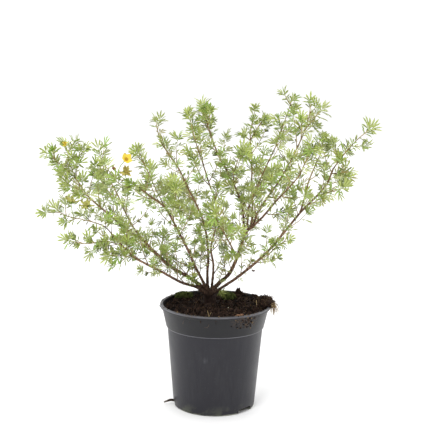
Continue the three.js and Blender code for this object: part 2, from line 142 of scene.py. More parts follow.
STEMS = (
    Stem("stem_left", (3.1, 2.0),
         ((-16, 176, 0), (-25, 188, -3), (-42, 200, -8), (-68, 215, -14), (-95, 239, -12), (-114, 259, -4)),
         Twigs(0.22, 13.0)),
    Stem("stem_low_left", (2.3, 1.2),
         ((-14, 173, -7), (-27, 183, -15), (-52, 191, -32), (-84, 208, -58), (-117, 225, -82),
          (-137, 241, -96), (-155, 260, -106)),
         Twigs(gap=14.0)),
    Stem("stem_centre_left", (2.2, 1.0),
         ((-14, 180, -3), (-20, 194, -10), (-28, 209, -18), (-41, 238, -34), (-54, 263, -50), (-66, 286, -64),
          (-78, 306, -76), (-101, 324, -96), (-125, 341, -112), (-141, 350, -120))),
    Stem("stem_back_left", (2.1, 1.0),
         ((-12, 181, 6), (-13, 205, 14), (-12, 235, 26), (-18, 279, 42), (-29, 308, 54), (-42, 333, 68),
          (-58, 366, 86), (-74, 388, 100))),
    Stem("stem_centre", (1.8, 1.0),
         ((-6, 180, 4), (-4, 219, 16), (-8, 245, 26), (-1, 281, 32), (-3, 321, 28), (-11, 341, 22),
          (-22, 374, 12))),
    Stem("stem_right", (3.0, 2.0),
         ((-6, 177, 0), (4, 190, 3), (19, 204, 8), (31, 229, 14), (40, 258, 20), (46, 272, 23),
          (56, 281, 26))),
    Stem("stem_low_right", (2.3, 1.2),
         ((-6, 174, -6), (8, 183, -14), (36, 203, -28), (76, 239, -44), (103, 272, -54), (126, 302, -60),
          (150, 328, -64), (164, 345, -66), (174, 371, -68)),
         Twigs(0.16, 16.0, 42.0)),
    Stem("stem_tall", (1.9, 1.0),
         ((43, 266, 22), (41, 284, 28), (39, 305, 36), (34, 324, 46), (14, 365, 74), (-4, 399, 96),
          (-13, 424, 106)),
         Twigs(gap=20.0)),
    Stem("stem_right_tall", (1.8, 0.9),
         ((55, 280, 26), (61, 299, 20), (71, 317, 8), (93, 350, -12), (112, 386, -32), (125, 415, -46)),
         Twigs(gap=20.0)),
    Stem("stem_right_front", (1.8, 0.9),
         ((54, 279, 25), (68, 293, 4), (89, 319, -38), (108, 340, -70), (123, 358, -94)),
         Twigs(gap=20.0)),
    Stem("stem_rear", (1.6, 0.9),
         ((52, 278, 25), (54, 300, 52), (52, 335, 86), (51, 379, 122), (49, 404, 138)),
         Twigs(gap=22.0)),
    Stem("stem_right_back", (1.5, 0.9),
         ((47, 273, 23), (47, 290, 38), (49, 311, 56), (58, 335, 74), (73, 372, 92), (88, 405, 104)),
         Twigs(gap=22.0)),
    Stem("stem_left_back", (1.6, 0.9),
         ((-112, 257, -5), (-124, 272, 14), (-138, 298, 40), (-147, 319, 62), (-158, 340, 84)),
         Twigs(gap=13.0)),
    Stem("stem_far_left", (1.7, 0.9),
         ((-113, 258, -5), (-131, 268, -12), (-161, 293, -22), (-194, 322, -28), (-213, 350, -30)),
         Twigs(gap=14.0)),
    Stem("stem_right_outer", (1.4, 0.9),
         ((126, 302, -60), (132, 326, -50), (138, 352, -36), (148, 378, -18)),
         Twigs(gap=24.0, longest=30.0)),
    Stem("stem_front", (1.3, 0.9),
         ((30, 228, 14), (27, 240, -8), (16, 261, -48), (5, 280, -88))),
)

SHOOTS = (
    Shoot("shoot_left_back", ((-157, 338, 82), (-168, 358, 98), (-175, 378, 112), (-178, 396, 122)),
          twigs=BUSHY),
    Shoot("shoot_far_left_low", ((-212, 349, -30), (-231, 365, -38), (-248, 381, -44), (-258, 391, -48))),
    Shoot("shoot_far_left_top", ((-212, 348, -30), (-222, 372, -20), (-225, 390, -12), (-228, 402, -8)),
          ((-217, 362, -24), (-209, 378, -34), (-205, 394, -42))),
    Shoot("shoot_far_left_side", ((-190, 318, -28), (-203, 329, -46), (-214, 335, -62), (-228, 341, -76)),
          twigs=BUSHY),
    Shoot("shoot_left_inner", ((-94, 238, -12), (-114, 249, -34), (-130, 258, -50), (-143, 268, -62)),
          twigs=BUSHY),
    Shoot("shoot_left_upright", ((-84, 229, -13), (-84, 242, 4), (-82, 254, 16), (-78, 272, 28))),
    Shoot("shoot_left_thin", ((-40, 199, -7), (-52, 212, 8), (-62, 222, 20), (-78, 236, 36)), vigour=0.85),
    Shoot("shoot_low_left_end", ((-154, 259, -105), (-170, 276, -112), (-201, 286, -118), (-225, 291, -120),
                                 (-247, 302, -118)),
          twigs=BUSHY),
    Shoot("shoot_low_left_mid", ((-144, 248, -100), (-170, 253, -122), (-199, 249, -138), (-230, 255, -150)),
          twigs=BUSHY),
    Shoot("shoot_low_left_near", ((-124, 231, -87), (-145, 231, -112), (-166, 232, -134)),
          twigs=BUSHY),
    Shoot("shoot_centre_left_up", ((-78, 306, -76), (-94, 338, -72), (-107, 366, -66), (-120, 396, -58)),
          twigs=BUSHY),
    Shoot("shoot_centre_left_thin", ((-65, 284, -63), (-66, 306, -84), (-62, 328, -100), (-64, 345, -108))),
    Shoot("shoot_back_left", ((-73, 387, 99), (-84, 404, 106), (-91, 426, 110), (-93, 442, 112))),
    Shoot("shoot_back_left_side", ((-35, 319, 60), (-50, 328, 90), (-64, 334, 118), (-80, 340, 142))),
    Shoot("shoot_rear_left", ((-18, 280, 43), (-32, 298, 82), (-50, 312, 122), (-66, 322, 158))),
    Shoot("shoot_centre", ((-21, 372, 13), (-30, 396, 6), (-38, 424, -4), (-43, 446, -10))),
    Shoot("shoot_tall", ((-12, 422, 105), (-19, 440, 110), (-25, 467, 116)),
          ((-16, 430, 107), (-13, 442, 94), (-14, 454, 86))),
    Shoot("shoot_centre_thin", ((34, 322, 46), (24, 350, 26), (30, 380, 8), (37, 398, 0))),
    Shoot("shoot_rear", ((49, 402, 137), (48, 423, 150), (52, 444, 160), (55, 460, 166)),
          ((49, 412, 143), (58, 428, 130), (67, 443, 118))),
    Shoot("shoot_rear_right", ((52, 328, 80), (62, 344, 116), (76, 356, 150), (90, 366, 180))),
    Shoot("shoot_right_back", ((87, 403, 103), (97, 434, 110), (104, 456, 114), (110, 475, 118))),
    Shoot("shoot_right_tall", ((124, 413, -45), (132, 436, -56), (136, 456, -64), (136, 474, -70)),
          ((129, 427, -52), (142, 444, -42), (155, 460, -32))),
    Shoot("shoot_right_front", ((122, 357, -93), (131, 378, -106), (137, 398, -114), (139, 410, -118))),
    Shoot("shoot_right_outer", ((147, 376, -19), (155, 396, -8), (158, 416, 0))),
    Shoot("shoot_low_right", ((173, 369, -68), (190, 393, -76), (208, 414, -82), (230, 433, -88)),
          ((179, 379, -71), (177, 396, -50), (173, 411, -36))),
    Shoot("shoot_low_right_spray", ((170, 362, -67), (186, 364, -90), (202, 366, -108), (218, 373, -122)),
          short=10),
    Shoot("shoot_low_right_side", ((149, 327, -64), (168, 334, -86), (186, 339, -104), (204, 348, -120)),
          short=10),
    Shoot("shoot_low_right_twig", ((60, 225, -38), (76, 234, -58), (98, 254, -86), (130, 266, -112)),
          vigour=0.8, short=12),
    Shoot("shoot_front", ((6, 278, -86), (1, 288, -108), (-2, 300, -126)), vigour=1.25),
    Shoot("shoot_basal", ((-4, 171, 4), (3, 175, 11), (10, 180, 18)), vigour=0.7),
)

# Openings in the foliage where the background shows from the front: across, up and radius in millimetres
GAPS = ((4, 438, 14), (34, 438, 12), (155, 438, 12), (192, 316, 22), (222, 345, 18), (-87, 186, 14),
        (-87, 249, 10), (64, 217, 10), (-270, 292, 14))


class NodeGraph:
    """Adds nodes to a node tree, each with its settings and its links in one call."""

    def __init__(self, tree: bpy.types.NodeTree) -> None:
        """Keeps the tree.

        Args:
            tree: The node tree that the nodes go into.
        """
        self.tree = tree

    def add(self, kind: str, inputs: dict[str, Any] | Sequence[Any] = (), **settings: Any) -> bpy.types.Node:
        """Adds one node.

        Args:
            kind: The node's type name.
            inputs: Values or output sockets, by socket name or in the order of the open sockets.
            **settings: Properties of the node, set before its sockets.

        Returns:
            The new node.
        """
        node = self.tree.nodes.new(kind)
        for key, value in settings.items():
            setattr(node, key, value)
        free = [socket for socket in node.inputs if socket.enabled]
        if isinstance(inputs, dict):
            pairs = [(next(s for s in free if s.name == name), value) for name, value in inputs.items()]
        else:
            pairs = list(zip(free, inputs))
        for socket, value in pairs:
            if isinstance(value, Socket):
                self.tree.links.new(value, socket)
            elif value is not None:
                socket.default_value = value
        return node

    def out(self, kind: str, inputs: dict[str, Any] | Sequence[Any] = (), pick: str = "",
            **settings: Any) -> Socket:
        """Adds one node and gives its first open output, or the one that pick names.

        Args:
            kind: The node's type name.
            inputs: As for add.
            pick: Name of the wanted output.
            **settings: As for add.

        Returns:
            The output socket.
        """
        node = self.add(kind, inputs, **settings)
        return next(socket for socket in node.outputs if socket.enabled and pick in ("", socket.name))

    def math(self, operation: str, *values: Any, clamp: bool = False) -> Socket:
        """Adds a Math node.

        Args:
            operation: Its operation.
            *values: Its inputs.
            clamp: True to keep the result from 0 to 1.

        Returns:
            Its result.
        """
        return self.out("ShaderNodeMath", values, operation=operation, use_clamp=clamp)

    def times(self, *values: Any) -> Socket:
        """Multiplies two numbers."""
        return self.math("MULTIPLY", *values)

    def vector(self, operation: str, *values: Any) -> Socket:
        """Adds a Vector Math node and gives its result."""
        return self.out("ShaderNodeVectorMath", values, operation=operation)

    def height(self, place: Socket) -> Socket:
        """Gives the Z coordinate of a place."""
        return self.add("ShaderNodeSeparateXYZ", (place,)).outputs[2]

    def length(self, vector: Socket) -> Socket:
        """Gives the length of a vector."""
        return self.out("ShaderNodeVectorMath", (vector,), "Value", operation="LENGTH")

    def distance(self, place: Socket, centre: Knot, stretch: Knot) -> Socket:
        """Gives how far a place is from a centre.

        Args:
            place: Coordinates.
            centre: The centre, in metres.
            stretch: Factor on each axis.

        Returns:
            The stretched distance.
        """
        return self.length(self.vector("MULTIPLY", self.vector("SUBTRACT", place, centre), stretch))

    def chance(self, seed: Socket, shift: int, low: Any, high: Any, kind: str = "FLOAT") -> Socket:
        """Gives a random value for each point.

        Args:
            seed: The tree's seed.
            shift: What is added to the seed.
            low: Lowest value.
            high: Highest value.
            kind: FLOAT, INT or FLOAT_VECTOR.

        Returns:
            The value.
        """
        inputs = {"Min": low, "Max": high, "Seed": self.math("ADD", seed, shift)}
        return self.out("FunctionNodeRandomValue", inputs, data_type=kind)

    def surface(self, colour: Socket, roughness: Any, normal: Socket, specular: float) -> Socket:
        """Adds a Principled shader.

        Args:
            colour: Its colour.
            roughness: Its roughness.
            normal: Its bent normal.
            specular: Strength of its reflections, 0.5 for a common one.

        Returns:
            The shader.
        """
        inputs = {"Base Color": colour, "Roughness": roughness, "Normal": normal,
                  "Specular IOR Level": specular}
        return self.out("ShaderNodeBsdfPrincipled", inputs)

    def scaled(self, vector: Socket, factor: Socket) -> Socket:
        """Multiplies a vector by a number."""
        result = self.vector("SCALE", vector, None, None)
        self.tree.links.new(factor, result.node.inputs["Scale"])
        return result

    def below(self, value: Socket, limit: Any) -> Socket:
        """Tells where a value is below a limit."""
        return self.out("FunctionNodeCompare", (value, limit), data_type="FLOAT", operation="LESS_THAN")

    def store(self, points: Socket, name: str, value: Socket, kind: str = "FLOAT") -> Socket:
        """Stores a value on points.

        Args:
            points: The points.
            name: The value's name.
            value: The value.
            kind: FLOAT or FLOAT_VECTOR.

        Returns:
            The points with the value.
        """
        inputs = {"Geometry": points, "Name": name, "Value": value}
        return self.out("GeometryNodeStoreNamedAttribute", inputs, data_type=kind, domain="POINT")

    def spread(self, value: Socket, low: float, high: float, start: float = 0.0, end: float = 1.0) -> Socket:
        """Maps a value from one range to another, clamped.

        Args:
            value: What is mapped.
            low: Lower end of its range.
            high: Upper end of its range.
            start: Result at the lower end.
            end: Result at the upper end.

        Returns:
            The mapped value.
        """
        return self.out("ShaderNodeMapRange", (value, low, high, start, end))

    def noise(self, place: Socket, scale: float, detail: float = 3.0, roughness: float = 0.55) -> Socket:
        """Adds a noise texture.

        Args:
            place: Coordinates.
            scale: Cells in a metre.
            detail: Octaves.
            roughness: Share of the finer octaves.

        Returns:
            Its value.
        """
        return self.out("ShaderNodeTexNoise",
                        {"Vector": place, "Scale": scale, "Detail": detail, "Roughness": roughness}, "Fac")

    def mix(self, share: Any, first: Any, second: Any, blend: str = "MIX") -> Socket:
        """Mixes two colours.

        Args:
            share: Share of the second.
            first: Colour socket or value with three numbers.
            second: Colour socket or value with three numbers.
            blend: Blend mode.

        Returns:
            The mixed colour.
        """
        full = [(*c, 1.0) if isinstance(c, tuple) and len(c) == 3 else c for c in (first, second)]
        return self.out("ShaderNodeMix", (share, *full), data_type="RGBA", blend_type=blend)

    def attribute(self, name: str) -> Socket:
        """Gives a float attribute of the geometry, in a geometry tree or in a material.

        Args:
            name: The attribute's name.

        Returns:
            Its value.
        """
        if self.tree.bl_idname == "GeometryNodeTree":
            return self.out("GeometryNodeInputNamedAttribute", {"Name": name}, data_type="FLOAT")
        return self.out("ShaderNodeAttribute", pick="Fac", attribute_name=name)


# Finishes


@dataclass(frozen=True)
class Finish:
    """What every finish has: a name, its main colour and its roughness."""

    name: str
    colour: Colour
    roughness: float

    def material(self) -> bpy.types.Material:
        """Gives the finish as a material, made at its first use.

        Returns:
            The material.
        """
        name = self.name + "_finish"
        known = bpy.data.materials.get(name)
        if known:
            return known
        material = bpy.data.materials.new(name)
        material.use_nodes = True
        material.node_tree.nodes.clear()
        material.diffuse_color = (*self.colour, 1.0)
        graph = NodeGraph(material.node_tree)
        place = graph.out("ShaderNodeTexCoord", pick="Object")
        shader = self.shader(graph, place)
        graph.add("ShaderNodeOutputMaterial", {"Surface": shader})
        return material

    def shader(self, graph: NodeGraph, place: Socket) -> Socket:
        """Builds the surface.

        Args:
            graph: The material's nodes.
            place: Object coordinates.

        Returns:
            The shader's output.
        """
        raise NotImplementedError

    @staticmethod
    def bump(graph: NodeGraph, height: Socket, distance: float, strength: float = 1.0,
             below: Socket | None = None) -> Socket:
        """Turns a height into a bent normal.

        Args:
            graph: The material's nodes.
            height: Height from 0 to 1.
            distance: Depth of the relief in metres.
            strength: Share of it that is used.
            below: Normal of a coarser relief under this one.

        Returns:
            The normal.
        """
        inputs = {"Height": height, "Distance": distance, "Strength": strength}
        if below is not None:
            inputs["Normal"] = below
        return graph.out("ShaderNodeBump", inputs)


@dataclass(frozen=True)
class PotPlastic(Finish):
    """Blue-black moulded plastic with a film of dust, scuffs, dried mud, a pale tide line at the foot,
    painted highlights along the collar's step and the lip, and a painted shadow under the lip.
    """

    dust: Colour = (0.05, 0.05, 0.055)
    mud: Colour = (0.07, 0.045, 0.03)
    tide: Colour = (0.085, 0.09, 0.062)
    # Pale grey: the real scuffs, and the painted highlights along the collar's step and the lip
    edge: Colour = (0.16, 0.16, 0.18)
    collar: Colour = (0.0035, 0.0035, 0.005)
    # Near black: painted shadow in the groove under the lip
    groove: Colour = (0.003, 0.003, 0.004)
    crust: Colour = (0.32, 0.33, 0.26)
    collar_foot: float = 0.125
    lip_foot: float = 0.1543
    lip_middle: float = 0.1583
    rim: tuple[float, float] = (0.0815, 0.0823)
    smear_centre: Knot = (0.046, -0.066, 0.150)
    smear_stretch: Knot = (34.0, 34.0, 75.0)
    scuff_centre: Knot = (-0.014, -0.0708, 0.089)
    scuff_stretch: Knot = (200.0, 100.0, 160.0)

    def shader(self, graph: NodeGraph, place: Socket) -> Socket:
        """Builds the plastic: see Finish.shader."""
        cloud = graph.noise(place, 22, 6, 0.6)
        streak = graph.noise(graph.vector("MULTIPLY", place, (260.0, 260.0, 30.0)), 1.0, 4, 0.6)
        height = graph.height(place)
        colour = self.dusted(graph, place, cloud, streak)
        step = graph.spread(height, self.collar_foot, self.collar_foot + 0.0005, 0.0, 0.85)
        colour = graph.mix(step, colour, self.collar)
        # Painted highlights on the collar's step and the lip, and a painted shadow under the lip
        colour = self.painted_edge_light(graph, place, cloud, colour)
        tide = graph.times(graph.spread(height, 0.001, 0.018, 0.65, 0.0),
                           self.patches(graph, place, 60, 0.47, 0.62))
        colour = graph.mix(tide, colour, self.tide)
        crust = graph.times(graph.spread(height, 0.0013, 0.0026, 0.9, 0.0),
                            graph.spread(graph.noise(place, 45, 4, 0.6), 0.4, 0.6))
        colour = graph.mix(crust, colour, self.crust)
        near = graph.distance(place, self.smear_centre, self.smear_stretch)
        smear = graph.times(graph.spread(near, 0.35, 1.0, 1.0, 0.0),
                            self.patches(graph, place, 260, 0.46, 0.6))
        rim = graph.times(graph.spread(height, 0.1555, 0.1595),
                          graph.spread(graph.noise(place, 150, 5, 0.6), 0.52, 0.66))
        dirt = graph.math("MAXIMUM", smear, graph.times(rim, 0.7))
        colour = graph.mix(dirt, colour, self.mud)
        near = graph.distance(place, self.scuff_centre, self.scuff_stretch)
        scuff = graph.times(graph.spread(near, 0.1, 1.0, 0.25, 0.0), graph.spread(streak, 0.4, 0.6))
        colour = graph.mix(scuff, colour, self.edge)
        film = graph.spread(cloud, 0.3, 0.75, self.roughness - 0.06, self.roughness + 0.14)
        rough = graph.math("ADD", film, graph.times(dirt, 0.4), clamp=True)
        wavy = self.bump(graph, graph.noise(place, 35, 3), 0.0006, 0.5)
        grain = self.bump(graph, graph.noise(place, 1400, 3, 0.6), 0.00006, 0.8, wavy)
        return graph.surface(colour, rough, self.bump(graph, dirt, 0.0006, 0.8, grain), 0.36)

    @staticmethod
    def patches(graph: NodeGraph, place: Socket, scale: float, low: float, high: float) -> Socket:
        """Gives ragged patches: 0 between them and 1 on them.

        Args:
            graph: The material's nodes.
            place: Object coordinates.
            scale: Patches in a metre.
            low: Noise where a patch starts.
            high: Noise where it is full.

        Returns:
            The share of dirt.
        """
        return graph.spread(graph.noise(place, scale, 5, 0.65), low, high)

    def dusted(self, graph: NodeGraph, place: Socket, cloud: Socket, streak: Socket) -> Socket:
        """Gives the bare plastic with its film and specks of dust.

        Args:
            graph: The material's nodes.
            place: Object coordinates.
            cloud: Slow noise.
            streak: Noise in upright streaks.

        Returns:
            The colour.
        """
        film = graph.times(graph.spread(cloud, 0.4, 0.75), graph.spread(streak, 0.35, 0.75))
        colour = graph.mix(graph.times(film, 0.45), self.colour, self.dust)
        speck = graph.spread(graph.noise(place, 420, 2, 0.5), 0.66, 0.74)
        return graph.mix(graph.times(speck, 0.35), colour, self.dust)

    def painted_edge_light(self, graph: NodeGraph, place: Socket, cloud: Socket, colour: Socket) -> Socket:
        """Adds painted highlights along the collar's step and the middle of the lip, and a painted shadow in
        the groove under the lip, each broken up by slow noise.

        Args:
            graph: The material's nodes.
            place: Object coordinates.
            cloud: Slow noise.
            colour: The colour so far.

        Returns:
            The colour.
        """
        outer = graph.spread(graph.length(graph.vector("MULTIPLY", place, (1.0, 1.0, 0.0))), *self.rim)
        patchiness = graph.spread(cloud, 0.3, 0.62, 0.55, 1.0)
        # A painted highlight on the collar's step, a painted highlight on the lip and a painted shadow under
        # the lip
        for height, reach, share, tone in ((self.collar_foot - 0.0001, 0.0012, 0.85, self.edge),
                                           (self.lip_middle, 0.0017, 0.8, self.edge),
                                           (self.lip_foot, 0.0013, 1.0, self.groove)):
            off = graph.math("ABSOLUTE", graph.math("SUBTRACT", graph.height(place), height))
            line = graph.times(graph.spread(off, reach * 0.35, reach, share, 0.0), patchiness)
            if height > self.collar_foot:
                line = graph.times(line, outer)
            colour = graph.mix(line, colour, tone)
        return colour


@dataclass(frozen=True)
class Soil(Finish):
    """Damp compost: near black in the hollows, brown and reddish on the crumbs."""

    light: Colour = (0.018, 0.0105, 0.0075)
    red: Colour = (0.05, 0.018, 0.009)

    def shader(self, graph: NodeGraph, place: Socket) -> Socket:
        """Builds the soil: see Finish.shader."""
        coarse = graph.noise(place, 130, 5, 0.65)
        fine = graph.noise(place, 900, 4, 0.7)
        colour = graph.mix(graph.spread(coarse, 0.42, 0.68), self.colour, self.light)
        colour = graph.mix(graph.times(graph.spread(fine, 0.58, 0.7), 0.5), colour, self.red)
        relief = self.bump(graph, coarse, 0.0016, 0.7)
        relief = self.bump(graph, fine, 0.0005, 0.9, relief)
        rough = graph.spread(fine, 0.3, 0.7, self.roughness - 0.25, self.roughness)
        return graph.surface(colour, rough, relief, 0.08)


@dataclass(frozen=True)
class Flecked(Finish):
    """A plain dry finish that varies between two colours, for chips, root fibres and grit."""

    second: Colour = (0.3, 0.2, 0.1)
    scale: float = 300.0

    def shader(self, graph: NodeGraph, place: Socket) -> Socket:
        """Builds the flecked finish: see Finish.shader."""
        cloud = graph.noise(place, self.scale, 3, 0.6)
        colour = graph.mix(graph.spread(cloud, 0.35, 0.65), self.colour, self.second)
        relief = self.bump(graph, graph.noise(place, self.scale * 4, 3, 0.6), 0.0003, 0.7)
        return graph.surface(colour, self.roughness, relief, 0.18)


@dataclass(frozen=True)
class Bark(Finish):
    """Bark: dark and stringy with tan flakes on thick wood, darker low down near the crown, smooth and tan on
    twigs.
    """

    twig: Colour = (0.46, 0.35, 0.14)
    flake: Colour = (0.37, 0.21, 0.13)
    darker_low: Colour = (0.014, 0.0065, 0.005)
    blotch: Colour = (0.035, 0.018, 0.012)

    def shader(self, graph: NodeGraph, place: Socket) -> Socket:
        """Builds the bark: see Finish.shader."""
        girth = graph.attribute("girth")
        height = graph.height(place)
        age = graph.spread(girth, 0.0006, 0.0016)
        strings = graph.noise(graph.vector("MULTIPLY", place, (1.0, 1.0, 0.28)), 620, 5, 0.65)
        colour = graph.mix(age, self.twig, self.colour)
        patch = graph.spread(graph.noise(place, 75, 4, 0.6), 0.4, 0.62, 0.0, 0.75)
        colour = graph.mix(patch, colour, self.blotch)
        thick = graph.spread(girth, 0.0008, 0.0016, 0.2, 1.0)
        flaked = graph.times(graph.spread(strings, 0.44, 0.6), thick)
        colour = graph.mix(flaked, colour, self.flake)
        # Darker towards the foot of the stems and on the crown
        colour = graph.mix(graph.spread(height, 0.172, 0.23, 0.95, 0.0), colour, self.darker_low)
        relief = self.bump(graph, strings, 0.0009, 0.8)
        return graph.surface(colour, self.roughness, relief, 0.2)


@dataclass(frozen=True)
class LeafBlade(Finish):
    """Soft sage-green leaf that lets light through: yellower when young, paler beneath and on the midrib."""

    pale: Colour = (0.74, 0.78, 0.42)
    dark: Colour = (0.062, 0.085, 0.02)
    young: Colour = (0.5, 0.6, 0.13)
    under: Colour = (0.54, 0.57, 0.32)
    through: Colour = (0.62, 0.66, 0.14)
    fresh: Colour = (0.74, 1.0, 0.62)
    turned: Colour = (0.3, 0.19, 0.05)
    thinness: float = 0.3

    def shader(self, graph: NodeGraph, place: Socket) -> Socket:
        """Builds the leaf: see Finish.shader."""
        youth = graph.attribute("youth")
        chance = graph.attribute("tint")
        # Dark and pale leaves and leaflets at random: partly the leaves' own range of tone, partly painted
        # shade and painted light for leaves turned away from or towards the light
        tint = graph.math("ADD", chance, graph.times(graph.attribute("shade"), 0.26))
        height = graph.height(place)
        # Darker lower down: partly older leaves, partly painted shade near the crown
        tint = graph.math("SUBTRACT", tint, graph.spread(height, 0.19, 0.32, 0.3, 0.0))
        colour = graph.mix(graph.spread(tint, 0.0, 0.42), self.dark, self.colour)
        colour = graph.mix(graph.spread(tint, 0.58, 0.95), colour, self.pale)
        colour = graph.mix(graph.spread(youth, 0.4, 1.4, 0.0, 0.8), colour, self.young)
        other = graph.math("FRACT", graph.times(chance, 7.3))
        colour = graph.mix(graph.spread(other, 0.35, 0.8, 0.0, 0.85), colour,
                           graph.mix(1.0, colour, self.fresh, "MULTIPLY"))
        rib = graph.spread(graph.attribute("rib"), 0.55, 1.0)
        colour = graph.mix(graph.times(rib, 0.3), colour, self.under)
        colour = graph.mix(graph.times(graph.attribute("under"), 0.5), colour, self.under)
        colour = graph.mix(graph.spread(chance, 0.975, 0.985, 0.0, 0.5), colour, self.turned)
        relief = self.bump(graph, graph.noise(place, 1500, 2, 0.5), 0.00012, 0.5)
        blade = graph.surface(colour, self.roughness, relief, 0.3)
        glow = graph.out("ShaderNodeBsdfTranslucent", {"Color": graph.mix(0.5, colour, self.through)})
        return graph.out("ShaderNodeMixShader", (self.thinness, blade, glow))


@dataclass(frozen=True)
class Petal(Finish):
    """Silky petal, deeper at its base and browned in patches."""

    base: Colour = (0.8, 0.42, 0.01)
    browned: Colour = (0.35, 0.17, 0.05)
    withered: float = 0.0

    def shader(self, graph: NodeGraph, place: Socket) -> Socket:
        """Builds the petal: see Finish.shader."""
        cloud = graph.noise(place, 260, 4, 0.6)
        colour = graph.mix(graph.spread(graph.attribute("rib"), 0.3, 1.0), self.colour, self.base)
        stain = graph.spread(cloud, 0.62 - 0.3 * self.withered, 0.78 - 0.2 * self.withered)
        colour = graph.mix(stain, colour, self.browned)
        relief = self.bump(graph, graph.noise(place, 800, 3), 0.0002, 0.5)
        return graph.surface(colour, self.roughness, relief, 0.35)


PLASTIC = PotPlastic("pot_plastic", (0.0105, 0.010, 0.0155), 0.38)
SOIL = Soil("compost", (0.0032, 0.002, 0.0015), 0.92)
CHIP = Flecked("bark_chips", (0.008, 0.0042, 0.003), 0.85, (0.05, 0.026, 0.017))
FIBRE = Flecked("root_fibres", (0.09, 0.055, 0.03), 0.8, (0.21, 0.14, 0.07), 120.0)
TAN = Flecked("tan_bits", (0.12, 0.05, 0.028), 0.8, (0.3, 0.17, 0.1), 500.0)
STRAW = Flecked("straw_roots", (0.3, 0.2, 0.09), 0.75, (0.55, 0.42, 0.24), 150.0)
GRIT = Flecked("pale_grit", (0.42, 0.4, 0.37), 0.8, (0.6, 0.57, 0.52))
BARK = Bark("bark", (0.075, 0.046, 0.027), 0.82)
LEAF = LeafBlade("leaf", (0.43, 0.5, 0.15), 0.6)
WITHERED = Flecked("withered_leaf", (0.045, 0.025, 0.022), 0.85, (0.12, 0.07, 0.045))
MOSS = Flecked("moss", (0.016, 0.024, 0.005), 0.9, (0.17, 0.205, 0.06), 130.0)
YELLOW = Petal("petal", (0.8, 0.63, 0.07), 0.5, (0.7, 0.44, 0.025))
FADED = Petal("faded_petal", (0.46, 0.46, 0.13), 0.75, (0.34, 0.33, 0.07), (0.22, 0.18, 0.05), 0.4)
BROWNED = Petal("browned_petal", (0.56, 0.49, 0.13), 0.75, (0.38, 0.31, 0.06), (0.22, 0.16, 0.045), 0.4)
RUSSET = Petal("bud_petal", (0.38, 0.2, 0.07), 0.7, (0.16, 0.22, 0.05), (0.17, 0.1, 0.04), 0.3)
STAMEN = Flecked("stamens", (0.7, 0.5, 0.07), 0.6, (0.5, 0.29, 0.04), 900.0)


# Shared helpers


def sighted(knot: Knot) -> Vector:
    """Gives the true place of a knot: on the line of sight through its measured spot, at its depth.

    Args:
        knot: Across, up and depth in millimetres.

    Returns:
        The place in metres.
    """
    across, up, depth = (value * MM for value in knot)
    return EYE + (Vector((across, 0.0, up)) - EYE) * (1 - depth / EYE.y)


def measured(place: Vector) -> Vector:
    """Gives the spot in the plane of depth 0 where a place is seen, the other way round from sighted.

    Args:
        place: A place in metres.

    Returns:
        The spot in metres.
    """
    return EYE + (place - EYE) / (1 - place.y / EYE.y)


def compass(turn: float) -> Vector:
    """Gives the level direction at a turn from +X, in radians."""
    return Vector((math.cos(turn), math.sin(turn), 0))


def leaning(turn: float, lean: float) -> Vector:
    """Gives the direction that leans away from +Z, with both angles in radians."""
    return Vector((math.sin(lean) * math.cos(turn), math.sin(lean) * math.sin(turn), math.cos(lean)))


def uneven(amount: float, scale: float, shift: Sequence[float] = (0, 0, 0)) -> Callable[[Vector], float]:
    """Gives a size factor that varies with the direction.

    Args:
        amount: How much it varies.
        scale: How fast it varies.
        shift: What sets one body apart from another.

    Returns:
        The factor, as a function of the direction.
    """
    return lambda direction: 1 + amount * noise.noise(direction * scale + Vector(shift))


def wander(place: Vector) -> Vector:
    """Gives an uneven vector that varies smoothly with the place and is the same in every run."""
    return Vector([noise.noise(place + Vector((shift, shift, shift))) for shift in (9.3, 31.7, 57.1)])


def smooth_line(knots: Sequence[Vector], step: float) -> list[Vector]:
    """Gives points on the centripetal curve through knots.

    Args:
        knots: The points it passes through.
        step: About the distance between two points.

    Returns:
        The points, from the first knot to the last.
    """
    ends = [knots[0] * 2 - knots[1], *knots, knots[-1] * 2 - knots[-2]]
    line = [knots[0].copy()]
    for before, start, stop, after in zip(ends, ends[1:], ends[2:], ends[3:]):
        spans = ((before, start), (start, stop), (stop, after))
        first, middle, last = (math.sqrt((b - a).length) for a, b in spans)
        across = (stop - start) / middle
        leave = ((start - before) / first - (stop - before) / (first + middle) + across) * middle
        arrive = (across - (after - start) / (middle + last) + (after - stop) / last) * middle
        count = max(2, round((stop - start).length / step))
        for i in range(1, count + 1):
            t = i / count
            line.append(start * (2 * t**3 - 3 * t**2 + 1) + leave * (t**3 - 2 * t**2 + t)
                        + stop * (3 * t**2 - 2 * t**3) + arrive * (t**3 - t**2))
    return line


def finished(name: str, mesh: bpy.types.Mesh, nodes: Iterable[str] = ()) -> bpy.types.Object:
    """Links a mesh as a finished piece that rides on the root body.

    Args:
        name: The piece's name.
        mesh: Its mesh, in place.
        nodes: CAD nodes that it stands for.

    Returns:
        The piece.
    """
    piece = bpy.data.objects.new(name + "_look" if name in frame["nodes"] else name, mesh)
    bpy.context.scene.collection.objects.link(piece)
    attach(piece, "root")
    nodes = tuple(nodes)
    if nodes:
        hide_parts(*nodes)
    LOG.info("%s: %d faces", piece.name, len(mesh.polygons))
    return piece


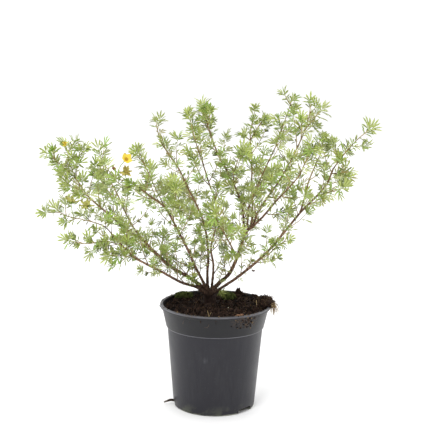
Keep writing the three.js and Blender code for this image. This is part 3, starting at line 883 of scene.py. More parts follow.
def mesh_from(name: str, vertices: Sequence[Sequence[float]], faces: Sequence[Sequence[int]],
              finish: Finish | None = None, smooth: bool = True) -> bpy.types.Mesh:
    """Makes a mesh from lists.

    Args:
        name: Its name.
        vertices: Places of its vertices.
        faces: Vertex numbers of its faces.
        finish: Its finish.
        smooth: True for smooth shading.

    Returns:
        The mesh.
    """
    mesh = bpy.data.meshes.new(name)
    mesh.from_pydata([tuple(v) for v in vertices], [], [tuple(f) for f in faces])
    mesh.update()
    mesh.polygons.foreach_set("use_smooth", [smooth] * len(mesh.polygons))
    if finish:
        mesh.materials.append(finish.material())
    return mesh


def set_floats(mesh: bpy.types.Mesh, name: str, values: Sequence[float], domain: str = "POINT") -> None:
    """Stores a float attribute.

    Args:
        mesh: The mesh.
        name: The attribute's name.
        values: One number for each element.
        domain: POINT or FACE.
    """
    attribute = mesh.attributes.new(name, "FLOAT", domain)
    attribute.data.foreach_set("value", values)


def settled(helper: bpy.types.Object, name: str, keep: Iterable[str] = ()) -> bpy.types.Mesh:
    """Turns an object with its modifiers into a plain mesh, and removes the object.

    Args:
        helper: The object.
        name: Name of the mesh.
        keep: Attributes that the finish reads; the tree's other ones are dropped.

    Returns:
        The plain mesh.
    """
    graph = bpy.context.evaluated_depsgraph_get()
    graph.update()
    shown = helper.evaluated_get(graph)
    mesh = bpy.data.meshes.new_from_object(shown, preserve_all_data_layers=True, depsgraph=graph)
    mesh.name = name
    links = {".edge_verts", ".corner_vert", ".corner_edge"}
    wanted = {"position", "material_index", "sharp_face", "sharp_edge", *links, *keep}
    for attribute in [a.name for a in mesh.attributes if a.name not in wanted]:
        if not attribute.startswith("."):
            mesh.attributes.remove(mesh.attributes[attribute])
    old = helper.data
    bpy.data.objects.remove(helper)
    if old.users == 0:
        bpy.data.meshes.remove(old)
    return mesh


class Geometry:
    """A Geometry Nodes tree with named inputs, run as a modifier on a helper object."""

    SOCKETS = {float: "NodeSocketFloat", int: "NodeSocketInt", "material": "NodeSocketMaterial",
               "collection": "NodeSocketCollection"}

    def __init__(self, name: str, inputs: dict[str, Any]) -> None:
        """Makes the tree and its sockets.

        Args:
            name: The tree's name.
            inputs: Socket name to float, int, "material" or "collection".
        """
        self.tree = bpy.data.node_groups.new(name, "GeometryNodeTree")
        interface = self.tree.interface
        interface.new_socket("Geometry", in_out="INPUT", socket_type="NodeSocketGeometry")
        for label, kind in inputs.items():
            interface.new_socket(label, in_out="INPUT", socket_type=self.SOCKETS[kind])
        interface.new_socket("Geometry", in_out="OUTPUT", socket_type="NodeSocketGeometry")
        self.graph = NodeGraph(self.tree)
        given = self.graph.add("NodeGroupInput").outputs
        self.given = {socket.name: socket for socket in given if socket.name}

    def finish(self, result: Socket) -> None:
        """Ends the tree.

        Args:
            result: The geometry that leaves it.
        """
        self.graph.add("NodeGroupOutput", (result,))

    def put_on(self, helper: bpy.types.Object, **values: Any) -> None:
        """Adds the tree to an object as a modifier.

        Args:
            helper: The object.
            **values: Values of the named inputs, with underscores for spaces.
        """
        modifier = helper.modifiers.new(self.tree.name, "NODES")
        modifier.node_group = self.tree
        identifiers = {item.name: item.identifier for item in self.tree.interface.items_tree
                       if item.item_type == "SOCKET" and item.in_out == "INPUT"}
        for label, value in values.items():
            modifier[identifiers[label.replace("_", " ")]] = value


def turned_out(mesh: bpy.types.Mesh) -> None:
    """Turns every face of a closed mesh outwards.

    Args:
        mesh: The mesh.
    """
    shape = bmesh.new()
    shape.from_mesh(mesh)
    bmesh.ops.recalc_face_normals(shape, faces=shape.faces)
    shape.to_mesh(mesh)
    shape.free()


def helper_object(mesh: bpy.types.Mesh) -> bpy.types.Object:
    """Links a mesh as a helper object for modifiers.

    Args:
        mesh: The mesh.

    Returns:
        The object.
    """
    helper = bpy.data.objects.new("helper", mesh)
    bpy.context.scene.collection.objects.link(helper)
    return helper


def kit_of(name: str, meshes: Iterable[bpy.types.Mesh]) -> bpy.types.Collection:
    """Puts meshes into a collection that a tree picks from.

    Args:
        name: The collection's name.
        meshes: The meshes.

    Returns:
        The collection, which no view layer shows.
    """
    kit = bpy.data.collections.new(name)
    for mesh in meshes:
        kit.objects.link(bpy.data.objects.new(mesh.name, mesh))
    return kit


def discard(kit: bpy.types.Collection) -> None:
    """Removes a kit with its objects and meshes once its copies are plain mesh.

    Args:
        kit: The collection.
    """
    for item in list(kit.objects):
        mesh = item.data
        bpy.data.objects.remove(item)
        bpy.data.meshes.remove(mesh)
    bpy.data.collections.remove(kit)


def lathe(profile: Sequence[tuple[float, float]], segments: int) -> Shape:
    """Turns a profile about the Z axis, with its poles closed where it meets the axis.

    Args:
        profile: Radius and height pairs in order, going up the outside.
        segments: Sides round the axis.

    Returns:
        The vertices and the faces.
    """
    vertices: list[Vector] = []
    rings: list[list[int]] = []
    for radius, height in profile:
        count = 1 if radius < 1e-9 else segments
        rings.append(list(range(len(vertices), len(vertices) + count)))
        for j in range(count):
            angle = 2 * math.pi * j / segments
            vertices.append(Vector((radius * math.cos(angle), radius * math.sin(angle), height)))
    faces = []
    for low, high in zip(rings, rings[1:]):
        for j in range(segments):
            k = (j + 1) % segments
            corners = [low[j % len(low)], low[k % len(low)], high[k % len(high)], high[j % len(high)]]
            face = tuple(dict.fromkeys(corners))
            if len(face) > 2:
                faces.append(face)
    return vertices, faces


def eased(profile: Sequence[tuple[float, float]], reach: float, steps: int = 3) -> list[tuple[float, float]]:
    """Rounds the corners of a profile.

    Args:
        profile: Corner points.
        reach: How far from a corner its rounding starts.
        steps: Spans of each rounding.

    Returns:
        The rounded profile, with its first and last point kept.
    """
    points = [Vector(corner) for corner in profile]
    result = [tuple(points[0])]
    for before, corner, after in zip(points, points[1:], points[2:]):
        sides = [end - corner for end in (before, after)]
        start, stop = (corner + side * min(0.45, reach / max(side.length, 1e-9)) for side in sides)
        for i in range(steps + 1):
            t = i / steps
            spot = start * (1 - t) ** 2 + corner * 2 * t * (1 - t) + stop * t**2
            result.append((spot.x, spot.y))
    result.append(tuple(points[-1]))
    return result


def rough_ball(centre: Sequence[float], half: Sequence[float], detail: int,
               swell: Callable[[Vector], float]) -> Shape:
    """Makes an uneven rounded body.

    Args:
        centre: Its centre in metres.
        half: Its half sizes in metres.
        detail: Times an icosahedron is divided.
        swell: Size factor for a direction.

    Returns:
        The vertices and the faces.
    """
    ball = bmesh.new()
    bmesh.ops.create_icosphere(ball, subdivisions=detail, radius=1.0)
    vertices = []
    for vertex in ball.verts:
        grown = swell(vertex.co.copy())
        vertices.append(Vector(c + h * v * grown for c, h, v in zip(centre, half, vertex.co)))
    faces = [tuple(v.index for v in face.verts) for face in ball.faces]
    ball.free()
    return vertices, faces


def tube(points: Sequence[Vector], radii: Sequence[float], sides: int) -> Shape:
    """Makes a closed tube along points.

    Args:
        points: Its centreline.
        radii: Radius at each point.
        sides: Sides round it.

    Returns:
        The vertices and the faces.
    """
    vertices: list[Vector] = []
    faces: list[Face] = []
    side = None
    for i, (point, radius) in enumerate(zip(points, radii)):
        ahead = (points[min(i + 1, len(points) - 1)] - points[max(i - 1, 0)]).normalized()
        if side is None:
            side = ahead.orthogonal().normalized()
        side = (side - ahead * side.dot(ahead)).normalized()
        other = ahead.cross(side)
        for j in range(sides):
            angle = 2 * math.pi * j / sides
            vertices.append(point + (side * math.cos(angle) + other * math.sin(angle)) * radius)
        if i:
            low, high = (i - 1) * sides, i * sides
            ring = [(j, (j + 1) % sides) for j in range(sides)]
            faces += [(low + j, low + k, high + k, high + j) for j, k in ring]
    faces.append(tuple(reversed(range(sides))))
    faces.append(tuple(range(len(vertices) - sides, len(vertices))))
    return vertices, faces


class Builder:
    """Gathers closed shapes with a finish and a rib value each into one mesh."""

    def __init__(self) -> None:
        """Starts empty."""
        self.vertices: list[Vector] = []
        self.faces: list[Face] = []
        self.looks: list[int] = []
        self.ribs: list[float] = []
        self.finishes: list[Finish] = []

    def add(self, shape: Shape, finish: Finish,
            ribs: Sequence[float] = (), place: Matrix | None = None) -> None:
        """Adds a shape.

        Args:
            shape: Its vertices and faces.
            finish: Its finish.
            ribs: Its rib value at each vertex, or nothing for 0.
            place: Where it goes.
        """
        vertices, faces = shape
        if finish not in self.finishes:
            self.finishes.append(finish)
        start = len(self.vertices)
        self.vertices += [place @ v if place else v for v in vertices]
        self.faces += [tuple(start + i for i in face) for face in faces]
        self.looks += [self.finishes.index(finish)] * len(faces)
        self.ribs += list(ribs) or [0.0] * len(vertices)

    def mesh(self, name: str) -> bpy.types.Mesh:
        """Makes the mesh.

        Args:
            name: Its name.

        Returns:
            The mesh with its finishes and rib values.
        """
        mesh = mesh_from(name, self.vertices, self.faces)
        for finish in self.finishes:
            mesh.materials.append(finish.material())
        mesh.polygons.foreach_set("material_index", self.looks)
        set_floats(mesh, "rib", self.ribs)
        return mesh


# Pot


@dataclass
class Pot:
    """Round tapered nursery pot with a rolled lip, a stepped collar and drain notches at its foot."""

    height: float = 0.160
    rim_radius: float = 0.085
    lip_height: float = 0.006
    collar_top_radius: float = 0.0816
    collar_foot_height: float = 0.125
    collar_foot_radius: float = 0.075
    body_top_radius: float = 0.0732
    foot_radius: float = 0.0625
    wall: float = 0.0016
    floor: float = 0.005
    notch_angles: tuple[float, ...] = (-40.0, -176.0, 72.0)
    notch_arc: float = 27.0
    notch_height: float = 0.007
    segments: int = 160
    stuck_bits: tuple[Knot, ...] = (
        (30, -63.5, 155.8), (36.5, -61, 155.6), (33.5, -65.5, 158), (39, -64, 158.5))
    stuck_straws: tuple[tuple[Knot, ...], ...] = (
        ((-11.8, -61, 163.5), (-10.4, -62.5, 159), (-9.2, -63, 154.5)),
        ((-9.2, -63, 154.5), (-8.2, -62.5, 157.5), (-6.4, -62, 161)))

    def inner_radius(self, height: float) -> float:
        """Radius of the inner face.

        Args:
            height: Height above the floor.

        Returns:
            The radius.
        """
        if height <= self.collar_foot_height:
            share = height / self.collar_foot_height
            return self.foot_radius + (self.body_top_radius - self.foot_radius) * share - self.wall
        share = (height - self.collar_foot_height) / (self.height - self.lip_height - self.collar_foot_height)
        growth = (self.collar_top_radius - self.collar_foot_radius) * min(share, 1.0)
        return self.collar_foot_radius + growth - self.wall

    def profile(self) -> list[tuple[float, float]]:
        """Gives the pot's section from the middle of its underside, up the outside and down the inside."""
        lip = self.height - self.lip_height
        outside = [(0.0, 0.0), (0.030, 0.0), (0.033, 0.003), (0.049, 0.003), (0.052, 0.0),
                   (self.foot_radius - 0.0012, 0.0), (self.foot_radius, 0.0015),
                   (self.body_top_radius, self.collar_foot_height - 0.001),
                   (self.collar_foot_radius, self.collar_foot_height), (self.collar_top_radius, lip),
                   (self.rim_radius - 0.0006, lip + 0.0006), (self.rim_radius, lip + 0.0025),
                   (self.rim_radius - 0.0006, self.height - 0.0007), (self.rim_radius - 0.0022, self.height)]
        inside = [(self.collar_top_radius - self.wall + 0.0004, self.height - 0.001),
                  (self.collar_top_radius - self.wall, lip),
                  (self.collar_foot_radius - self.wall, self.collar_foot_height),
                  (self.inner_radius(self.collar_foot_height - 0.001), self.collar_foot_height - 0.001),
                  (self.inner_radius(self.floor), self.floor), (0.0, self.floor)]
        return eased(outside + inside, 0.0007)

    def notch(self, angle: float) -> bpy.types.Object:
        """Makes the block that cuts one drain notch.

        Args:
            angle: Middle of the notch, in degrees.

        Returns:
            The cutter.
        """
        near, far, steps = 0.054, 0.07, 8
        vertices, faces = [], []
        for i in range(steps + 1):
            turn = math.radians(angle - self.notch_arc / 2 + self.notch_arc * i / steps)
            ease = 1 - abs(2 * i / steps - 1) ** 8 * 0.2
            for radius, height in ((near, -0.002), (far, -0.002), (far, self.notch_height * ease),
                                   (near, self.notch_height * ease)):
                vertices.append((radius * math.cos(turn), radius * math.sin(turn), height))
            if i:
                a, b = 4 * (i - 1), 4 * i
                faces += [(a + j, b + j, b + (j + 1) % 4, a + (j + 1) % 4) for j in range(4)]
        faces += [(0, 1, 2, 3), tuple(4 * steps + j for j in (3, 2, 1, 0))]
        mesh = mesh_from("notch", vertices, faces)
        turned_out(mesh)
        return helper_object(mesh)

    def build(self) -> bpy.types.Object:
        """Makes the pot.

        Returns:
            The finished piece.
        """
        vertices, faces = lathe(self.profile(), self.segments)
        helper = helper_object(mesh_from("pot_wall", vertices, faces, PLASTIC))
        cutters = [self.notch(angle) for angle in self.notch_angles]
        for cutter in cutters:
            cut = helper.modifiers.new("notch", "BOOLEAN")
            cut.operation, cut.object, cut.solver = "DIFFERENCE", cutter, "EXACT"
        mesh = settled(helper, "pot_wall")
        for cutter in cutters:
            block = cutter.data
            bpy.data.objects.remove(cutter)
            bpy.data.meshes.remove(block)
        mesh.set_sharp_from_angle(angle=math.radians(38))
        return finished("pot", mesh, ["pot"])

    def crumbs(self, rng: random.Random) -> bpy.types.Object:
        """Makes the crumbs of compost that stick to the collar and the lip.

        Args:
            rng: Source of chance.

        Returns:
            The finished piece.
        """
        builder = Builder()
        lip_top = self.height - 0.0016
        spots = [(rng.gauss(-55.0, 7.0), rng.uniform(0.139, 0.1565)) for _ in range(46)]
        spots += [(rng.uniform(-66.0, -28.0), rng.uniform(0.1585, 0.1598)) for _ in range(40)]
        spots += [(rng.uniform(-180.0, 180.0), rng.uniform(0.159, 0.16)) for _ in range(46)]
        spots += [(186.0, 0.157), (187.5, 0.1555), (-48.0, 0.1375), (-43.0, 0.141)]
        for angle, height in spots:
            radius = self.inner_radius(height) + self.wall
            if height > self.height - self.lip_height:
                radius = self.rim_radius - (0.0022 if height > lip_top else 0.0)
            centre = compass(math.radians(angle)) * radius + UP * height
            size = rng.uniform(0.0005, 0.0014)
            half = [size * rng.uniform(0.6, 1.4) for _ in range(3)]
            shape = rough_ball(centre, half, 1, uneven(0.35, 2.3, (angle, 0, 0)))
            builder.add(shape, rng.choice((SOIL, SOIL, CHIP, FIBRE)))
        for centre in self.stuck_bits:
            bit = Vector(centre) * MM
            shape = rough_ball(bit, (0.0034, 0.002, 0.0016), 2, uneven(0.5, 1.8, (bit.x * 900, 0, 0)))
            builder.add(shape, TAN)
        for knots in self.stuck_straws:
            line = smooth_line([Vector(knot) * MM for knot in knots], 0.001)
            builder.add(tube(line, [0.00045] * len(line), 4), STRAW)
        return finished("collar_crumbs", builder.mesh("collar_crumbs"))


# Compost and what lies on it


@dataclass
class Ground:
    """Compost in the pot, the clump spilled over its rim, moss, chips, fibres and grit."""

    pot: Pot
    level: float = 0.153
    mound: float = 0.004
    mound_radius: float = 0.034
    right_rise: float = 0.0035
    lumps: float = 0.0013
    gap: float = 0.0003
    spill_centre: tuple[float, float, float] = (0.0755, 0.004, 0.1590)
    spill_half: tuple[float, float, float] = (0.0112, 0.0228, 0.0068)
    bark_splits: tuple[tuple[Knot, Knot, float], ...] = (
        ((0.035, 0.062, 0.160), (0.0042, 0.0022, 0.0088), 12.0),
        ((0.0305, 0.061, 0.159), (0.0032, 0.0022, 0.0052), -35.0),
        ((0.041, 0.0615, 0.159), (0.0046, 0.0024, 0.0042), 55.0),
        ((0.0345, 0.0595, 0.1565), (0.007, 0.004, 0.0026), 0.0),
        ((0.0620, 0.036, 0.163), (0.0055, 0.0016, 0.0022), 20.0))
    kits: dict[str, bpy.types.Collection] = field(default_factory=dict)

    def height(self, x: float, y: float) -> float:
        """Height of the compost's surface.

        Args:
            x: Across, in metres.
            y: Back, in metres.

        Returns:
            The height.
        """
        radius = math.hypot(x, y)
        heap = self.mound * math.exp(-((radius / self.mound_radius) ** 2))
        share = min(max(x / self.pot.rim_radius, 0.0), 1.0)
        rise = self.right_rise * share * share * (3 - 2 * share)
        across, back = x / MM, y / MM
        waves = math.sin(0.23 * across + 1) * math.cos(0.19 * back)
        waves += 0.8 * math.sin(0.11 * across - 0.13 * back)
        return self.level + heap + rise + self.lumps * waves

    def crumbled(self, x: float, y: float) -> float:
        """Height of the surface with its crumbs."""
        spot = Vector((x, y, 0.0))
        fine = noise.fractal(spot * 150, 0.9, 2.1, 4) * 0.0011
        coarse = noise.fractal(spot * 45, 1.0, 2.0, 2) * 0.0012
        return self.height(x, y) + fine + coarse

    def chip_mesh(self, name: str, half: Sequence[float], finish: Finish, seed: float) -> bpy.types.Mesh:
        """Makes one angular bit.

        Args:
            name: Its name.
            half: Its half sizes.
            finish: Its finish.
            seed: Offset of its unevenness.

        Returns:
            The mesh, with 20 faces.
        """
        shape = rough_ball((0, 0, 0), half, 1, uneven(0.6, 1.7, (seed, seed, 0)))
        return mesh_from(name, *shape, finish, smooth=False)

    def fibre_mesh(self, name: str, length: float, bend: float, seed: int) -> bpy.types.Mesh:
        """Makes one root fibre that lies along X.

        Args:
            name: Its name.
            length: Its length.
            bend: How far it wanders.
            seed: Seed of its course.

        Returns:
            The mesh.
        """
        rng = random.Random(seed)
        knots = [Vector((length * (i / 4 - 0.5), rng.uniform(-bend, bend), rng.uniform(0, bend) * (i % 2)))
                 for i in range(5)]
        line = smooth_line(knots, length / 8)
        radii = [0.00022 * (1 - 0.5 * i / len(line)) for i in range(len(line))]
        return mesh_from(name, *tube(line, radii, 3), FIBRE)

    def moss_mesh(self, name: str, leaves: int, height: float, lean: float) -> bpy.types.Mesh:
        """Makes one tuft of moss from narrow pointed leaves.

        Args:
            name: Its name.
            leaves: How many leaves it has.
            height: Their length.
            lean: How far they lean out, in radians.

        Returns:
            The mesh.
        """
        builder = Builder()
        for i in range(leaves):
            turn = GOLDEN_ANGLE * i
            tip = leaning(turn, lean) * height
            side = Vector((-math.sin(turn), math.cos(turn), 0)) * height * 0.16
            out = tip.cross(side).normalized() * height * 0.06
            middle = tip * 0.45
            foot = UP * -0.0004
            vertices = [foot, middle - side, middle + out, middle + side, middle - out, tip]
            faces = [(0, 1, 2), (0, 2, 3), (0, 3, 4), (0, 4, 1), (5, 2, 1), (5, 3, 2), (5, 4, 3), (5, 1, 4)]
            builder.add((vertices, faces), MOSS)
        return builder.mesh(name)

    def scatter_tree(self) -> Geometry:
        """Returns:
            The tree.
        """
        tree = Geometry("scatter", {"Kit": "collection", "Density": float, "Small": float, "Large": float,
                                    "Tumble": float, "Seed": int, "Finish": "material"})
        graph, given = tree.graph, tree.given
        is_open = graph.out("FunctionNodeCompare", (graph.attribute("open"), 0.5), data_type="FLOAT",
                            operation="GREATER_THAN")
        spread = graph.add("GeometryNodeDistributePointsOnFaces",
                           {"Mesh": given["Geometry"], "Selection": is_open, "Density": given["Density"],
                            "Seed": given["Seed"]}, distribute_method="RANDOM")
        turn = graph.chance(given["Seed"], 0, (-1.0, -1.0, -math.pi), (1.0, 1.0, math.pi), "FLOAT_VECTOR")
        parts = graph.add("ShaderNodeSeparateXYZ", (turn,)).outputs
        tumble = [graph.times(part, given["Tumble"]) for part in parts[:2]]
        euler = graph.out("ShaderNodeCombineXYZ", (*tumble, parts[2]))
        rotation = graph.out("FunctionNodeRotateRotation",
                             (spread.outputs["Rotation"], graph.out("FunctionNodeEulerToRotation", (euler,))),
                             rotation_space="LOCAL")
        size = graph.chance(given["Seed"], 3, given["Small"], given["Large"])
        index = graph.chance(given["Seed"], 5, 0, 20, "INT")
        kit = graph.out("GeometryNodeCollectionInfo", (given["Kit"], True, True))
        bits = graph.out("GeometryNodeInstanceOnPoints",
                         {"Points": spread.outputs["Points"], "Instance": kit, "Pick Instance": True,
                          "Instance Index": index, "Rotation": rotation, "Scale": size})
        real = graph.out("GeometryNodeRealizeInstances", (bits,))
        dressed = graph.out("GeometryNodeSetMaterial", {"Geometry": real, "Material": given["Finish"]})
        both = graph.add("GeometryNodeJoinGeometry")
        for part in (dressed, given["Geometry"]):
            graph.tree.links.new(part, both.inputs[0])
        tree.finish(both.outputs[0])
        return tree

    def prepare(self) -> None:
        """Makes the scatter tree and the kits of bits."""
        self.tree = self.scatter_tree()
        bit, fibre, tuft = self.chip_mesh, self.fibre_mesh, self.moss_mesh
        kits = {"crumbs": [bit(f"crumb_{i}", (0.0012 + 0.0003 * i, 0.001, 0.0008), SOIL, i * 3.1)
                           for i in range(4)],
                "chips": [bit(f"chip_{i}", (0.0032 + 0.0008 * i, 0.0016, 0.0006), CHIP, i * 5.3)
                          for i in range(4)],
                "fibres": [fibre(f"fibre_{i}", 0.014 + 0.005 * i, 0.0022 + 0.0006 * i, i) for i in range(5)],
                "grit": [bit(f"grit_{i}", (0.0011, 0.0009, 0.0008), GRIT, i * 7.7) for i in range(2)],
                "moss": [tuft(f"tuft_{i}", 4 + i, 0.0034 + 0.0006 * i, 0.45 + 0.12 * i) for i in range(3)]}
        self.kits = {name: kit_of(name, meshes) for name, meshes in kits.items()}

    def clear(self) -> None:
        """Removes the kits and the tree."""
        for kit in self.kits.values():
            discard(kit)
        bpy.data.node_groups.remove(self.tree.tree)

    def strew(self, helper: bpy.types.Object, kit: str, finish: Finish, density: float,
              sizes: tuple[float, float], tumble: float, seed: int) -> None:
        """Scatters one kit over a helper object.

        Args:
            helper: The object, whose faces marked open are covered.
            finish: Finish of the bits.
            density: Bits in a square metre.
            sizes: Smallest and largest size factor.
            tumble: How far a bit is tipped out of the surface, in radians.
            seed: Seed of the places.
        """
        self.tree.put_on(helper, Kit=self.kits[kit], Density=float(density), Small=sizes[0], Large=sizes[1],
                         Tumble=tumble, Seed=seed, Finish=finish.material())

    def compost(self) -> bpy.types.Object:
        """Makes the compost with its crumbs, chips, fibres and grit.

        Returns:
            The finished piece.
        """
        edge = self.pot.inner_radius(self.level - 0.002) - self.gap
        rings, segments = 54, 150
        foot, floor = self.pot.collar_foot_height, self.pot.floor
        levels = ((floor, floor + self.gap), (foot - 0.001, foot - 0.001), (foot + 0.001, foot + 0.001))
        lower = [(0.0, floor + self.gap)]
        lower += [(self.pot.inner_radius(at) - self.gap, height) for at, height in levels]
        top = [(edge * (1 - ring / rings), self.level) for ring in range(rings + 1)]
        vertices, faces = lathe(lower + top, segments)
        for vertex in vertices:
            if vertex.z > self.level - 1e-4:
                vertex.z = self.crumbled(vertex.x, vertex.y)
        mesh = mesh_from("soil", vertices, faces, SOIL)
        set_floats(mesh, "open", [float(p.center.z > self.level - 0.006) for p in mesh.polygons], "FACE")
        helper = helper_object(mesh)
        self.strew(helper, "crumbs", SOIL, 150000, (0.6, 2.0), 1.2, 1)
        self.strew(helper, "chips", CHIP, 22000, (0.5, 1.5), 0.9, 2)
        self.strew(helper, "fibres", FIBRE, 1000, (0.5, 1.1), 0.3, 3)
        self.strew(helper, "grit", GRIT, 70, (0.5, 0.9), 0.6, 4)
        return finished("compost", settled(helper, "compost"), ["compost"])

    def spill(self) -> bpy.types.Object:
        """Makes the clump that lies over the right of the rim, full of root fibres.

        Returns:
            The finished piece.
        """
        def swell(direction: Vector) -> float:
            return 1 + 0.3 * noise.fractal(direction * 2.2, 0.8, 2.2, 5) + 0.1 * noise.noise(direction * 8)

        vertices, faces = rough_ball(self.spill_centre, self.spill_half, 5, swell)
        top = self.pot.height + 0.0002
        for vertex in vertices:
            radius = math.hypot(vertex.x, vertex.y)
            if self.pot.collar_top_radius - 0.004 < radius < self.pot.rim_radius + 0.0008:
                vertex.z = max(vertex.z, top)
            elif radius >= self.pot.rim_radius + 0.0008:
                vertex.z = max(vertex.z, 0.1535 + 0.002 * noise.noise(vertex * 300))
            else:
                vertex.z = max(vertex.z, self.height(vertex.x, vertex.y) - 0.003)
        mesh = mesh_from("clump", vertices, faces, SOIL)
        set_floats(mesh, "open", [float(p.normal.z > -0.35) for p in mesh.polygons], "FACE")
        helper = helper_object(mesh)
        self.strew(helper, "crumbs", SOIL, 230000, (0.6, 2.2), 1.4, 11)
        self.strew(helper, "chips", CHIP, 45000, (0.4, 1.3), 1.3, 12)
        self.strew(helper, "fibres", FIBRE, 9000, (0.3, 0.8), 0.7, 13)
        clump = settled(helper, "clump")
        mesh = joined("compost_spill", [clump, self.straws()])
        return finished("compost_spill", mesh, ["compost_spill"])

    def straws(self) -> bpy.types.Mesh:
        """Makes the straw-coloured roots that hang out of the spilled clump over the rim.

        Returns:
            The mesh.
        """
        rng = random.Random(19)
        middle = Vector((0.0765, 0.004, 0.1600))
        builder = Builder()
        for i in range(50):
            turn = math.radians(rng.uniform(-48, 20))
            out = compass(turn)
            start = middle + Vector((0.0095 * out.x, 0.020 * out.y, rng.uniform(-0.003, 0.003)))
            swing = Vector((rng.uniform(-1, 1), rng.uniform(-1, 1), rng.uniform(-0.7, 0.5)))
            reach = rng.uniform(0.004, 0.010)
            line = smooth_line([start - out * 0.003, start + out * reach * 0.4 + swing * 0.0015,
                                start + out * reach * 0.8 + swing * 0.0035 - UP * 0.0015,
                                start + out * reach + swing * 0.005 - UP * rng.uniform(0.003, 0.013)], 0.0012)
            rim, top = self.pot.rim_radius, self.pot.height + 0.0004
            line = [point for point in line if math.hypot(point.x, point.y) > rim or point.z > top]
            if len(line) > 2:
                thick = rng.uniform(0.00028, 0.0006)
                radii = [thick * (1 - 0.5 * j / len(line)) for j in range(len(line))]
                builder.add(tube(line, radii, 4), STRAW if i % 3 else FIBRE)
        upright = ((62.5, -13.5, 156), (62.8, -13.7, 161), (62.2, -13.2, 168))
        line = smooth_line([Vector(knot) * MM for knot in upright], 0.001)
        builder.add(tube(line, [0.00055] * len(line), 5), STRAW)
        return builder.mesh("straws")

    def moss(self, name: str, centre: Sequence[float], half: Sequence[float], seed: int) -> bpy.types.Object:
        """Makes one moss cushion.

        Args:
            name: Its CAD node.
            centre: Its centre in metres.
            half: Its half sizes in metres.
            seed: Seed of its tufts.

        Returns:
            The finished piece.
        """
        def swell(direction: Vector) -> float:
            return 0.93 + 0.12 * noise.noise(direction * 2.6 + Vector((seed, 0, 0)))

        vertices, faces = rough_ball(centre, half, 4, swell)
        mesh = mesh_from(name + "_cushion", vertices, faces, MOSS)
        set_floats(mesh, "open", [float(p.normal.z > 0.0) for p in mesh.polygons], "FACE")
        helper = helper_object(mesh)
        self.strew(helper, "moss", MOSS, 600000, (0.5, 1.15), 0.6, seed)
        return finished(name, settled(helper, name), [name])

    def bark_pieces(self, rng: random.Random) -> bpy.types.Object:
        """Makes the split bark that stands up from the compost at the back.

        Args:
            rng: Source of chance.

        Returns:
            The finished piece.
        """
        builder = Builder()
        for centre, half, tilt in self.bark_splits:
            shift = Vector((rng.random() * 9, 0, 0))

            def swell(direction: Vector) -> float:
                grain = Vector((direction.x * 5, direction.y * 5, direction.z * 1.2)) + shift
                return 1 + 0.4 * noise.noise(grain) + 0.25 * noise.noise(direction * 6)

            shape = rough_ball((0, 0, 0), half, 3, swell)
            place = Matrix.Translation(centre) @ Matrix.Rotation(math.radians(tilt), 4, "Y")
            builder.add(shape, CHIP, (), place)
        return finished("bark_chip", builder.mesh("bark_chip"), ["bark_chip"])


# Wood and leaves


class LeafKind(Enum):
    """The leaves that the shrub bears: each leaflet's angle in degrees and its length in millimetres."""

    OPEN = ((-62, 9.6), (-29, 12.2), (0, 13.4), (29, 12.2), (62, 9.6))
    NARROW = ((-52, 9.8), (-25, 12.4), (0, 13.8), (25, 12.4), (52, 9.8))
    THREE = ((-38, 9.6), (0, 12.4), (38, 9.6))
    BUDDING = ((-42, 7.4), (-20, 9.2), (0, 10.2), (20, 9.2), (42, 7.4))


@dataclass(frozen=True)
class LeafShape:
    """Sizes of one leaf, which grows along +Z with its upper face towards -X."""

    # Tone offsets of the leaflets, partly their own tone and partly painted shade and painted light on single
    # leaflets
    SHADES: ClassVar[tuple[float, ...]] = (0.0, 0.9, -0.6, 0.5, -1.0)
    kind: LeafKind
    petiole: float = 0.0045
    width: float = 0.00215
    fold: float = 0.30
    recurve: float = 0.16
    thickness: float = 0.00022

    def mesh(self) -> bpy.types.Mesh:
        """Makes the leaf.

        Returns:
            The mesh, with its rib and under values.
        """
        builder = Builder()
        under: list[float] = []
        shade = [0.0] * 6
        end = Vector((0, 0, self.petiole))
        stalk = tube([Vector((0, 0, -0.0004)), end], [0.00032, 0.00024], 3)
        builder.add(stalk, LEAF, [1.0] * 6)
        under += [0.0] * len(stalk[1])
        for order, (angle, length) in enumerate(self.kind.value):
            turn = math.radians(angle)
            along = Vector((0, math.sin(turn), math.cos(turn)))
            side = Vector((0, math.cos(turn), -math.sin(turn)))
            base = end - UP * 0.0028 * (abs(angle) > 42)
            reach = length * MM
            upper = Vector((-1, 0, 0))
            droop = self.recurve * (0.7 + 0.5 * ((order * 7) % 3) / 2)
            vertices, ribs = [base.copy()], [0.6]
            for share, wide in ((0.34, 0.74), (0.72, 1.0)):
                centre = base + along * reach * share - upper * reach * droop * share**2
                half = self.width * wide / 2
                raised = upper * half * self.fold * 2
                vertices += [centre - side * half + raised, centre + upper * self.thickness / 2,
                             centre + side * half + raised, centre - upper * self.thickness / 2]
                ribs += [0.0, 1.0, 0.0, 1.0]
            vertices.append(base + along * reach - upper * reach * droop)
            ribs.append(0.3)
            faces = [(0, 1, 2), (0, 2, 3), (0, 3, 4), (0, 4, 1),
                     (1, 5, 6, 2), (2, 6, 7, 3), (3, 7, 8, 4), (4, 8, 5, 1),
                     (9, 6, 5), (9, 7, 6), (9, 8, 7), (9, 5, 8)]
            builder.add((vertices, faces), LEAF, ribs)
            under += [0.0, 0.0, 1.0, 1.0] * 3
            shade += [self.SHADES[(order * 2 + len(self.kind.name)) % 5]] * 10
        mesh = builder.mesh(f"leaf_{self.kind.name.lower()}")
        turned_out(mesh)
        set_floats(mesh, "under", under, "FACE")
        set_floats(mesh, "shade", shade)
        mesh.set_sharp_from_angle(angle=math.radians(75))
        return mesh


